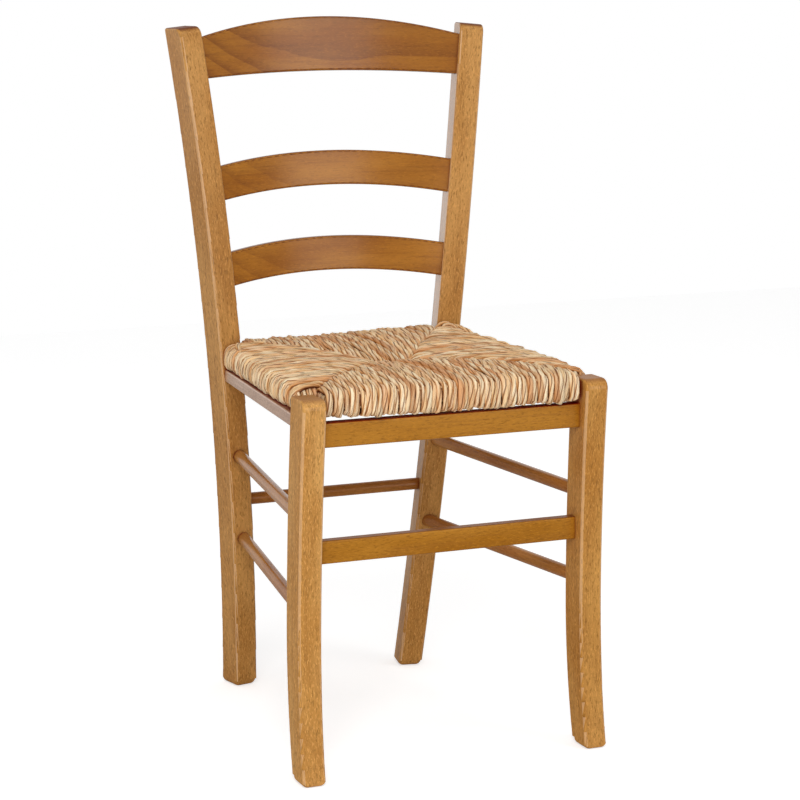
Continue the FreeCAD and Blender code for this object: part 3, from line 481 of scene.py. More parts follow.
@dataclass(frozen=True)
class Straw:
    """Dried rush, from pale gold to a pinkish tan, with leaf edges and painted shade in its creases,
    on its flanks and in the gaps between strands.
    """

    name: str = "rush_straw"
    pale: Colour = srgb(255, 236, 200)
    gold: Colour = srgb(240, 200, 148)
    tan: Colour = srgb(222, 162, 112)
    brown: Colour = srgb(122, 62, 20)
    crease_shade: Colour = srgb(104, 48, 14)
    flank_shade: Colour = srgb(214, 140, 66)
    gap_shade: Colour = srgb(92, 36, 8)

    def material(self) -> bpy.types.Material:
        """Builds the material on the strands' own attributes.

        Returns:
            The material.
        """
        shader = Shader(self.name)
        along = shader.attribute("along", "Fac")
        strand = shader.attribute("strand", "Fac")
        section = shader.attribute("section")
        parts = shader.node("SeparateXYZ", section).outputs
        angle = shader.times(shader.maths("ARCTAN2", parts[1], parts[0]), LEAVES / 2)
        lobe = shader.maths("ABSOLUTE", shader.maths("COSINE", angle))

        run = shader.node("CombineXYZ", shader.times(along, 16.0), shader.times(strand, 37.0),
                          0.0).outputs[0]
        leaf, fibre = (
            shader.noise(shader.vector("ADD", run, shader.vector("MULTIPLY", section, waves)),
                         1.0, detail, rough)
            for waves, detail, rough in (((1.3, 0.0, 1.0), 2.0, 0.5), ((6.0, 6.0, 0.0), 3.0, 0.65)))
        kind, own = (
            shader.noise(shader.node("CombineXYZ", shader.times(strand, apart), offset,
                                     shader.times(along, waves)).outputs[0], 1.0, 1.0)
            for apart, offset, waves in ((53.0, 0.0, 6.0), (91.0, 3.0, 4.0)))

        tone = shader.mix(shader.spread(leaf, 0.36, 0.64), self.gold, self.pale)
        tanned = shader.times(shader.spread(kind, 0.46, 0.66), 0.9)
        tone = shader.mix(tanned, tone, self.tan)
        shade = shader.spread(own, 0.34, 0.64, 0.86, 1.05)
        tone = shader.mix(1.0, tone, shader.node("CombineXYZ", shade, shade, shade).outputs[0],
                          "MULTIPLY")
        threads = shader.times(shader.spread(fibre, 0.54, 0.62), 0.8)
        tone = shader.mix(threads, tone, self.brown)
        # Painted shade in the creases between the leaves.
        crease_shading = shader.times(shader.spread(lobe, 0.06, 0.46, 1.0, 0.0), 0.9)
        tone = shader.mix(crease_shading, tone, self.crease_shade)
        lift = shader.attribute("lift", "Fac")
        # Painted warm shade on the flanks of each strand, by how far they stand out.
        flank_shading = shader.times(shader.spread(lift, 0.1, 0.85, 1.0, 0.0), 0.6)
        tone = shader.mix(flank_shading, tone, self.flank_shade)
        # Painted dark shade where a strand sinks into the gaps between strands.
        gap_shading = shader.times(shader.spread(lift, -0.4, 0.4, 1.0, 0.0), 0.94)
        tone = shader.mix(gap_shading, tone, self.gap_shade)

        height = shader.maths("ADD", shader.times(leaf, 0.5), shader.times(fibre, 0.5))
        return shader.finish(Base_Color=tone, Roughness=0.6, Specular_IOR_Level=0.03,
                             Normal=shader.bump(height, 0.0009, 0.8))


def use_material(piece: bpy.types.Object, material: bpy.types.Material) -> None:
    """Makes a material the only one of an object."""
    piece.data.materials.clear()
    piece.data.materials.append(material)


def report(piece: bpy.types.Object) -> None:
    """Logs a finished piece with the number of its faces."""
    LOG.info("%s: %d faces", piece.name, len(piece.data.polygons))


def new_piece(name: str, mesh: bpy.types.Mesh) -> bpy.types.Object:
    """Puts a mesh in the scene at the origin.

    Args:
        name: The object's name.
        mesh: The mesh.

    Returns:
        The object.
    """
    piece = bpy.data.objects.new(name, mesh)
    bpy.context.scene.collection.objects.link(piece)
    return piece


# Joinery


class Grain(Enum):
    """The way that a piece's grain runs."""

    UPRIGHT = (0.0, 0.0, 1.0)
    ACROSS = (1.0, 0.0, 0.0)
    BACKWARD = (0.0, 1.0, 0.0)


ARRIS_WIDTH = 0.0017
ARRIS_LENGTH = 0.004
ARRIS_TURN = math.radians(8)
SHARP_TURN = math.radians(32)
MERGED = 2e-6
SLIVER = 1e-6
BOARDS_APART = 0.37


@dataclass
class Timber:
    """One piece of beech that stands for the CAD node of its name."""

    node: str
    finish: StainedBeech
    grain: Grain
    lean: Point = (0.0, 0.0, 0.0)
    bent: bool = False
    seed: int = 0

    def grain_run(self) -> np.ndarray:
        """The direction of the piece's grain."""
        run = np.array(self.grain.value) + np.array(self.lean)
        return run / np.linalg.norm(run)

    def grain_places(self, points: np.ndarray) -> np.ndarray:
        """Works out where each point lies in the board that the piece was cut from.

        Args:
            points: The points, in metres.

        Returns:
            Along, across and through the board, in metres.
        """
        run = self.grain_run()
        helper = np.array(Grain.BACKWARD.value if self.grain is not Grain.BACKWARD
                          else Grain.UPRIGHT.value)
        across = np.cross(helper, run)
        across /= np.linalg.norm(across)
        through = np.cross(run, across)
        middle = (points.max(axis=0) + points.min(axis=0)) / 2
        local = (points - middle) @ np.stack((run, across, through), axis=1)
        if self.bent:
            curve = np.polyfit(local[:, 0], local[:, 2], 4)
            local[:, 2] -= np.polyval(curve, local[:, 0])
        return local

    def on_arris(self, face: bmesh.types.BMFace) -> float:
        """Says whether a face is part of an arris that runs along the grain.

        Args:
            face: The face.

        Returns:
            1 for a narrow face that turns away from its neighbour, else 0.
        """
        longest = max(face.edges, key=lambda edge: edge.calc_length())
        length = longest.calc_length()
        first, last = longest.verts
        narrow = 2 * face.calc_area() < length * ARRIS_WIDTH and length > ARRIS_LENGTH
        turns = any(edge.calc_face_angle(0.0) > ARRIS_TURN for edge in face.edges
                    if edge.calc_length() > 0.5 * length)
        with_grain = abs((last.co - first.co).dot(Vector(self.grain_run()))) > 0.75 * length
        return float(narrow and turns and with_grain)

    def build(self, material: bpy.types.Material) -> None:
        """Copies the node's mesh, joins its faces, rounds its shading and gives it its grain.

        Args:
            material: The finish.
        """
        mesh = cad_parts[self.node].data.copy()
        mesh.name = self.node + "_wood"
        work = bmesh.new()
        work.from_mesh(mesh)
        bmesh.ops.remove_doubles(work, verts=work.verts, dist=MERGED)
        bmesh.ops.dissolve_degenerate(work, edges=work.edges, dist=SLIVER)
        for face in work.faces:
            face.smooth = True
        for edge in work.edges:
            edge.smooth = len(edge.link_faces) == 2 and edge.calc_face_angle(0.0) < SHARP_TURN
        arris = [self.on_arris(face) for face in work.faces]
        work.to_mesh(mesh)
        work.free()
        mesh.attributes.new("arris", "FLOAT", "FACE").data.foreach_set("value", arris)
        flat = np.empty(len(mesh.vertices) * 3)
        mesh.vertices.foreach_get("co", flat)
        places = self.grain_places(flat.reshape(-1, 3))
        layer = mesh.attributes.new("grain", "FLOAT_VECTOR", "POINT")
        layer.data.foreach_set("vector", places.ravel())
        board = mesh.attributes.new("board", "FLOAT", "POINT")
        board.data.foreach_set("value", np.full(len(mesh.vertices), self.seed * BOARDS_APART))
        piece = new_piece(self.node + "_wood", mesh)
        use_material(piece, material)
        weighted = piece.modifiers.new("flat_faces_first", "WEIGHTED_NORMAL")
        weighted.keep_sharp = True
        weighted.weight = 80
        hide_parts(self.node)
        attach(piece, "root")
        report(piece)


@dataclass
class Joinery:
    """All the stained beech: back frame, front frame and the rails and stretchers between."""

    # What runs from front to back at each side: the end of its name, its finish and its seed.
    ALONG = (("_apron", SIDE_RAIL_SHEEN_BEECH, 30), ("_upper_stretcher", ROUND_BEECH, 40),
             ("_lower_stretcher", ROUND_BEECH, 50))
    # What runs from left to right: its name, its finish, whether it is bent, and its seed.
    ACROSS = (("top_slat", TOP_SLAT_BEECH, True, 61), ("middle_slat", SLAT_BEECH, True, 62),
              ("lower_slat", SLAT_BEECH, True, 63), ("front_apron", RAIL_BEECH, False, 71),
              ("front_stretcher", STRETCHER_BEECH, False, 72),
              ("rear_apron", RAIL_BEECH, False, 73), ("rear_stretcher", ROUND_BEECH, False, 74))

    post_lean: float = 0.0907
    side_lean: float = 0.102

    def timbers(self) -> Iterable[Timber]:
        """Lists the pieces with the way that each one's grain runs.

        Returns:
            The pieces.
        """
        for seed, (side, sign, leg) in enumerate((("left", -1.0, LEG_BEECH),
                                                  ("right", 1.0, RIGHT_LEG_SHADED_BEECH))):
            yield Timber("rear_post_" + side, POST_BEECH, Grain.UPRIGHT,
                         (sign * self.post_lean, 0.0, 0.0), seed=10 + seed)
            yield Timber("front_leg_" + side, leg, Grain.UPRIGHT, seed=20 + seed)
            toward = (-sign * self.side_lean, 0.0, 0.0)
            for name, finish, first_seed in self.ALONG:
                yield Timber(side + name, finish, Grain.BACKWARD, toward, seed=first_seed + seed)
        for name, finish, bent, seed in self.ACROSS:
            yield Timber(name, finish, Grain.ACROSS, bent=bent, seed=seed)

    def build(self) -> None:
        """Builds every piece in its own finish."""
        made: dict[str, bpy.types.Material] = {}
        for timber in self.timbers():
            if timber.finish.name not in made:
                made[timber.finish.name] = timber.finish.material()
            timber.build(made[timber.finish.name])


# Rush seat


def ramp(places: np.ndarray, start: float, run: float) -> np.ndarray:
    """Rises from 0 at start to 1 at the end of the run, and stays there."""
    return np.clip((places - start) / run, 0.0, 1.0)


class Side(Enum):
    """The four panels of the seat."""

    FRONT = "front"
    REAR = "rear"
    LEFT = "left"
    RIGHT = "right"


@dataclass
class SeatForm:
    """The outer form of the seat: its plan, and its section from an outer edge to the seam."""

    front_y: float = -0.219
    rear_y: float = 0.1751
    front_half: float = 0.1978
    rear_half: float = 0.1647
    seam_half: float = 0.024
    seam_y: float = -0.02645
    front_notch: tuple[float, float] = (0.1596, -0.1795)
    rear_notch: tuple[float, float] = (0.1340, 0.1363)
    low: float = 0.4438
    top: float = 0.4748
    crown: float = 0.004
    crown_share: float = 0.38
    seam_drop: float = 0.004
    under_rise: float = 0.007
    bend: float = 0.013
    bend_steps: int = 6
    sag_reach: float = 0.05
    tight_share: float = 0.4
    tight_sag: float = 0.004

    @property
    def deep(self) -> float:
        """Depth of the front panel, from its edge to the seam."""
        return self.seam_y - self.front_y

    @property
    def lean(self) -> float:
        """Angle of the side edges to the middle line."""
        return math.atan2(self.front_half - self.rear_half, self.rear_y - self.front_y)

    def side_x(self, y: float) -> float:
        """Half width of the seat at y."""
        share = (y - self.front_y) / (self.rear_y - self.front_y)
        return self.front_half + (self.rear_half - self.front_half) * share

    def panel_deep(self, side: Side) -> float:
        """Depth of a panel, square to its outer edge.

        Args:
            side: The panel.

        Returns:
            The depth in metres.
        """
        if side is Side.FRONT:
            return self.deep
        if side is Side.REAR:
            return self.rear_y - self.seam_y
        return (self.side_x(self.seam_y) - self.seam_half) * math.cos(self.lean)

    def end(self, front: bool) -> tuple[float, float]:
        """The half width and the y of the front or the rear edge."""
        return (self.front_half, self.front_y) if front else (self.rear_half, self.rear_y)

    def reach(self, side: Side, place: float) -> float:
        """How far a strand runs from the outer edge to the mitre, along the strand.

        Args:
            side: The panel.
            place: Where the strand lies along the edge: x for front and rear, else y.

        Returns:
            The run in metres.
        """
        if side in (Side.FRONT, Side.REAR):
            wide, edge = self.end(side is Side.FRONT)
            share = min(1.0, (wide - abs(place)) / (wide - self.seam_half))
            return abs(self.seam_y - edge) * share
        wide, edge = self.end(place < self.seam_y)
        share = (place - edge) / (self.seam_y - edge)
        mitre_x = wide + (self.seam_half - wide) * share
        return self.side_x(place) - mitre_x

    def upper(self, depth: float) -> float:
        """Height of the top of the front panel.

        Args:
            depth: The depth from its outer edge.

        Returns:
            The height in metres.
        """
        return self.arc_height(depth, (self.bend, self.top),
                               (self.crown_share * self.deep, self.top + self.crown),
                               (self.deep, self.top - self.seam_drop))

    @staticmethod
    def arc_height(depth: float, first: tuple[float, float], middle: tuple[float, float],
                   last: tuple[float, float]) -> float:
        """Height of the upper arc through three points at a depth.

        Args:
            depth: The depth.
            first: Depth and height of the first point.
            middle: The same of the second.
            last: The same of the third.

        Returns:
            The height in metres.
        """
        (ax, ay), (bx, by), (cx, cy) = first, middle, last
        twice = 2 * (ax * (by - cy) + bx * (cy - ay) + cx * (ay - by))
        a2, b2, c2 = ax * ax + ay * ay, bx * bx + by * by, cx * cx + cy * cy
        ux = (a2 * (by - cy) + b2 * (cy - ay) + c2 * (ay - by)) / twice
        uy = (a2 * (cx - bx) + b2 * (ax - cx) + c2 * (bx - ax)) / twice
        radius = math.hypot(ax - ux, ay - uy)
        return uy + math.sqrt(max(0.0, radius ** 2 - (depth - ux) ** 2))

    def under(self, depth: float) -> float:
        """Height of the underside of the front panel.

        Args:
            depth: The depth from its outer edge.

        Returns:
            The height in metres.
        """
        start = self.crown_share * self.deep
        share = max(0.0, (depth - start) / (self.deep - start))
        return self.low + self.under_rise * share

    def turn(self, depth: float, height: float, radius: float, start: float
             ) -> list[tuple[float, float]]:
        """Rounds an edge of the section with a quarter turn.

        Args:
            depth: Depth of its centre.
            height: Height of its centre.
            radius: Its radius.
            start: The angle at which it begins.

        Returns:
            Depth and height of its points.
        """
        angles = [start - math.pi / 2 * k / self.bend_steps for k in range(self.bend_steps + 1)]
        return [(depth + radius * math.cos(angle), height + radius * math.sin(angle))
                for angle in angles]

    def section(self, side: Side, reach: float, inset: float, step: float = 0.006,
                hang: float = 0.0) -> np.ndarray:
        """A panel's section: from its underside at the mitre, round the edge, to its top.

        Args:
            side: The panel.
            reach: The depth at which both ends stop, square to the edge.
            inset: How far inside the outer form the line runs.
            step: The least number of points follows from this spacing.
            hang: How far the strands sag below their rail at the outer edge.

        Returns:
            Rows of depth and height.
        """
        stretch = self.panel_deep(side) / self.deep
        bend = self.bend
        span = max(reach / stretch - bend, 0.001)
        count = max(3, int(span / step))
        line = []
        for k in range(count):
            depth = bend + span * (1 - k / count)
            sag = hang * max(0.0, 1 - (depth - bend) / self.sag_reach)
            line.append((depth, self.under(depth) - sag))
        tight = bend * (1 - self.tight_share * min(1.0, hang / self.tight_sag))
        line += self.turn(tight, self.low - hang + tight, tight, -math.pi / 2)
        line += self.turn(bend, self.top - bend, bend, math.pi)
        line += [(bend + span * k / count, self.upper(bend + span * k / count))
                 for k in range(1, count + 1)]
        path = np.array(line) * (stretch, 1.0)
        ahead = np.gradient(path, axis=0)
        ahead /= np.linalg.norm(ahead, axis=1)[:, None]
        return path + np.stack((ahead[:, 1], -ahead[:, 0]), axis=1) * inset

    def to_world(self, side: Side, place: float, section: np.ndarray) -> np.ndarray:
        """Puts section points in the chair at a place along a panel's edge.

        Args:
            side: The panel.
            place: x for front and rear, else y.
            section: Rows of depth and height.

        Returns:
            Rows of x, y and z.
        """
        depth, height = section[:, 0], section[:, 1]
        still = np.full_like(depth, place)
        if side is Side.FRONT:
            return np.stack((still, self.front_y + depth, height), axis=1)
        if side is Side.REAR:
            return np.stack((still, self.rear_y - depth, height), axis=1)
        sign = -1.0 if side is Side.LEFT else 1.0
        inner = self.side_x(place) - depth / math.cos(self.lean)
        return np.stack((sign * inner, still, height), axis=1)

    def edge_span(self, side: Side) -> tuple[float, float]:
        """Where the strands of a panel begin and end along its edge.

        Args:
            side: The panel.

        Returns:
            Both places: x for front and rear, else y.
        """
        if side is Side.FRONT:
            return -self.front_notch[0], self.front_notch[0]
        if side is Side.REAR:
            return -self.rear_notch[0], self.rear_notch[0]
        return self.front_notch[1], self.rear_notch[1]


@dataclass
class Guide:
    """The middle line of one strand, with the way that its broad face looks at each point."""

    points: np.ndarray
    faces: np.ndarray
    mark: float
    girth: np.ndarray


class StrandTree(Nodes):
    """The Geometry Nodes tree that lays a twisted, uneven strand of rush along each guide."""

    INPUTS = (("Radius", 0.0040, "Float"), ("Lobe", 0.27, "Float"), ("Step", 0.0055, "Float"),
              ("Wander", 0.0009, "Float"), ("Swell", 0.26, "Float"), ("Twist", 72.0, "Float"),
              ("Tilt", 0.6, "Float"), ("Seed", 7.0, "Float"), ("Sides", 12, "Int"))
    STRANDS_APART = (17.3, 41.9, 5.7)
    FIRST_TURN = 2.7
    WANDER_WAVES = 22.0
    TILT_WAVES = 13.0
    SWELL_WAVES = 34.0
    SWING = 2.0

    def __init__(self) -> None:
        """Builds the tree: guides to curves, uneven position and tilt, then the sweep."""
        super().__init__(bpy.data.node_groups.new("rush_strands", "GeometryNodeTree"))
        face = self.tree.interface
        face.new_socket("Geometry", in_out="INPUT", socket_type="NodeSocketGeometry")
        for name, value, kind in self.INPUTS:
            socket = face.new_socket(name, in_out="INPUT", socket_type="NodeSocket" + kind)
            socket.default_value = value
        face.new_socket("Material", in_out="INPUT", socket_type="NodeSocketMaterial")
        face.new_socket("Geometry", in_out="OUTPUT", socket_type="NodeSocketGeometry")
        self.asked = self.tree.nodes.new("NodeGroupInput").outputs
        self.here = self.geometry("InputPosition").outputs[0]
        self.mark = self.named("strand", "FLOAT")
        self.broad = self.named("broad_face", "FLOAT_VECTOR")
        own = [self.maths("MULTIPLY_ADD", self.mark, apart, self.asked["Seed"])
               for apart in self.STRANDS_APART]
        self.place = self.vector("ADD", self.here, self.node("CombineXYZ", *own).outputs[0])
        self.dress(self.sweep(self.twisted(self.wandering()), self.profile()))

    def geometry(self, kind: str, sockets: dict[str, object] | None = None, **settings: object
                 ) -> bpy.types.Node:
        """Adds a geometry node.

        Args:
            kind: The node's type without its GeometryNode prefix.
            sockets: What goes in its sockets, by name.
            **settings: Properties of the node.

        Returns:
            The node.
        """
        made = self.tree.nodes.new("GeometryNode" + kind)
        for key, setting in settings.items():
            setattr(made, key, setting)
        for name, value in (sockets or {}).items():
            self.feed(made.inputs[name], value)
        return made

    def named(self, name: str, kind: str) -> Socket:
        """Reads an attribute of the strands."""
        return self.geometry("InputNamedAttribute", {"Name": name}, data_type=kind).outputs[0]

    def store(self, geometry: Socket, name: str, kind: str, value: Socket) -> Socket:
        """Stores a value on each point.

        Args:
            geometry: The geometry.
            name: The attribute's name.
            kind: Its data type.
            value: The value.

        Returns:
            The geometry with the attribute.
        """
        sockets = {"Name": name, "Geometry": geometry, "Value": value}
        return self.geometry("StoreNamedAttribute", sockets, data_type=kind,
                             domain="POINT").outputs[0]

    def scaled(self, arrow: Socket, amount: Socket) -> Socket:
        """Scales a vector.

        Args:
            arrow: The vector.
            amount: The factor.

        Returns:
            The scaled vector.
        """
        made = self.node("VectorMath", arrow, operation="SCALE")
        self.feed(made.inputs["Scale"], amount)
        return made.outputs[0]

    def noise(self, waves: float) -> bpy.types.Node:
        """Adds a noise texture that is different on each strand.

        Args:
            waves: Its scale.

        Returns:
            The node.
        """
        made = self.node("TexNoise", self.place)
        made.inputs["Scale"].default_value = waves
        made.inputs["Detail"].default_value = 1.5
        return made

    def swing(self, waves: float) -> Socket:
        """Adds a noise that swings both ways round zero.

        Args:
            waves: Its scale.

        Returns:
            The noise.
        """
        noise = self.noise(waves).outputs[0]
        return self.node("MapRange", noise, None, None, -self.SWING, self.SWING).outputs[0]

    def wandering(self) -> Socket:
        """Turns the guides into evenly stepped curves that wander a little.

        Returns:
            The curves.
        """
        curves = self.geometry("MeshToCurve", {"Mesh": self.asked["Geometry"]}).outputs[0]
        even = self.geometry("ResampleCurve", {"Curve": curves, "Length": self.asked["Step"]},
                             mode="LENGTH").outputs[0]
        drift = self.noise(self.WANDER_WAVES).outputs["Color"]
        drift = self.vector("SUBTRACT", drift, (0.5, 0.5, 0.5))
        offset = self.scaled(drift, self.times(self.asked["Wander"], 2 * self.SWING))
        return self.geometry("SetPosition", {"Geometry": even, "Offset": offset}).outputs[0]

    def twisted(self, curves: Socket) -> Socket:
        """Twists the curves and notes how far along and where their middle line each point is.

        Args:
            curves: The curves.

        Returns:
            The curves.
        """
        faced = self.geometry("SetCurveNormal", {"Curve": curves, "Normal": self.broad},
                              mode="FREE").outputs[0]
        along = self.geometry("SplineParameter").outputs["Length"]
        tilt = self.times(self.swing(self.TILT_WAVES), self.asked["Tilt"])
        tilt = self.maths("MULTIPLY_ADD", along, self.asked["Twist"], tilt)
        tilt = self.maths("MULTIPLY_ADD", self.mark, self.FIRST_TURN, tilt)
        tilted = self.geometry("SetCurveTilt", {"Curve": faced, "Tilt": tilt}).outputs[0]
        marked = self.store(tilted, "along", "FLOAT", along)
        return self.store(marked, "middle", "FLOAT_VECTOR", self.here)

    def profile(self) -> Socket:
        """Draws the section of a strand: a round one with a groove between its leaves.

        Returns:
            The closed curve.
        """
        ring = self.geometry("CurvePrimitiveCircle", {"Radius": 1.0,
                                                      "Resolution": self.asked["Sides"]})
        noted = self.store(ring.outputs["Curve"], "section", "FLOAT_VECTOR", self.here)
        axes = self.node("SeparateXYZ", self.here).outputs
        angle = self.times(self.maths("ARCTAN2", axes[1], axes[0]), LEAVES / 2)
        leaf = self.maths("ABSOLUTE", self.maths("COSINE", angle))
        groove = self.times(self.maths("SUBTRACT", 1.0, leaf), self.asked["Lobe"])
        reach = self.times(self.maths("SUBTRACT", 1.0, groove), self.asked["Radius"])
        shaped = self.scaled(self.here, reach)
        return self.geometry("SetPosition", {"Geometry": noted, "Position": shaped}).outputs[0]

    def sweep(self, curves: Socket, profile: Socket) -> Socket:
        """Sweeps the section along the curves and notes how far each point stands out.

        Args:
            curves: The middle lines.
            profile: The section.

        Returns:
            The strands' mesh.
        """
        swell = self.maths("MULTIPLY_ADD", self.swing(self.SWELL_WAVES), self.asked["Swell"], 1.0)
        sockets = {"Curve": curves, "Profile Curve": profile,
                   "Scale": self.times(swell, self.named("girth", "FLOAT")), "Fill Caps": True}
        swept = self.geometry("CurveToMesh", sockets).outputs[0]
        proud = self.vector("SUBTRACT", self.here, self.named("middle", "FLOAT_VECTOR"))
        height = self.node("VectorMath", proud, self.broad, operation="DOT_PRODUCT")
        lift = self.maths("DIVIDE", height.outputs["Value"], self.asked["Radius"])
        return self.store(swept, "lift", "FLOAT", lift)

    def dress(self, mesh: Socket) -> None:
        """Makes the strands real and smooth and gives them their material.

        Args:
            mesh: The strands' mesh.
        """
        real = self.geometry("RealizeInstances", {"Geometry": mesh}).outputs[0]
        smooth = self.geometry("SetShadeSmooth", {"Geometry": real}).outputs[0]
        dressed = self.geometry("SetMaterial", {"Geometry": smooth,
                                                "Material": self.asked["Material"]})
        self.feed(self.tree.nodes.new("NodeGroupOutput").inputs[0], dressed.outputs[0])

    def lay(self, name: str, guides: Sequence[Guide], material: bpy.types.Material,
            **sizes: float) -> bpy.types.Object:
        """Lays strands along guides and turns the result into a plain mesh.

        Args:
            name: The piece's name.
            guides: The middle lines.
            material: The strands' material.
            **sizes: Inputs of the tree that differ from their defaults.

        Returns:
            The piece, at the origin.
        """
        points, faces, girths = (
            np.concatenate([getattr(guide, part) for guide in guides])
            for part in ("points", "faces", "girth"))
        marks = np.concatenate([np.full(len(guide.points), guide.mark) for guide in guides])
        edges: list[tuple[int, int]] = []
        start = 0
        for guide in guides:
            edges += [(start + k, start + k + 1) for k in range(len(guide.points) - 1)]
            start += len(guide.points)
        mesh = bpy.data.meshes.new(name + "_guides")
        mesh.from_pydata(points.tolist(), edges, [])
        mesh.attributes.new("strand", "FLOAT", "POINT").data.foreach_set("value", marks)
        mesh.attributes.new("girth", "FLOAT", "POINT").data.foreach_set("value", girths)
        layer = mesh.attributes.new("broad_face", "FLOAT_VECTOR", "POINT")
        layer.data.foreach_set("vector", faces.ravel())
        piece = new_piece(name, mesh)
        modifier = piece.modifiers.new("strands", "NODES")
        modifier.node_group = self.tree
        given = {**sizes, "Material": material}
        for socket in self.tree.interface.items_tree:
            if socket.in_out == "INPUT" and socket.name in given:
                modifier[socket.identifier] = given[socket.name]
        bpy.context.view_layer.update()
        graph = bpy.context.evaluated_depsgraph_get()
        swept = bpy.data.meshes.new_from_object(piece.evaluated_get(graph), depsgraph=graph)
        piece.modifiers.remove(modifier)
        piece.data = swept
        bpy.data.meshes.remove(mesh)
        swept.name = name
        for extra in ("broad_face", "middle", "girth"):
            if extra in swept.attributes:
                swept.attributes.remove(swept.attributes[extra])
        return piece


# The strands tied round the right rear corner: girth, and places along each one. The left corner
# has only the first of them.
CORNER_RUNS = (
    (0.95, ((0.1490, 0.1290, 0.4790), (0.1500, 0.1250, 0.4850), (0.1565, 0.1130, 0.4840),
            (0.1590, 0.0980, 0.4820), (0.1610, 0.0830, 0.4790), (0.1620, 0.0700, 0.4735))),
    (0.7, ((0.1270, 0.1260, 0.4790), (0.1325, 0.1270, 0.4860), (0.1405, 0.1290, 0.4895),
           (0.1470, 0.1275, 0.4885), (0.1505, 0.1240, 0.4850), (0.1515, 0.1215, 0.4790))),
    (0.85, ((0.1330, 0.1180, 0.4790), (0.1365, 0.1215, 0.4850), (0.1420, 0.1240, 0.4870),
            (0.1475, 0.1220, 0.4865), (0.1520, 0.1160, 0.4850), (0.1550, 0.1060, 0.4790))),
)

# How far before the inner corner of its notch each strand beside a front leg lies.
BESIDE_LEG = (0.0035, 0.0095, 0.0155, 0.0215)

# How uneven the strands are: standard deviations in metres, of girth as a share.
PLACE_SPREAD = 0.0005
REACH_SPREAD = 0.0016
SAG_SPREAD = 0.0006
GIRTH_SPREAD = 0.09
GIRTH_RANGE = (0.78, 1.22)
WALL_GIRTH = (0.85, 1.0)

# How deep a strand lies, by whether its panel is on top: standard deviation and deepest place.
DEPTH_SPREAD = {True: (0.0012, 0.0026), False: (0.0006, 0.0012)}
HIGHEST = -0.0007

LEAST_REACH = 0.020
MARKS = (0.0, 10.0)
# How far outwards a second line runs that shows which way a strand's broad face looks.
PROBE = 0.001
# Just over the wanted number of steps, so that rounding down always gives that number.
PACKING_STEPS = 12.01


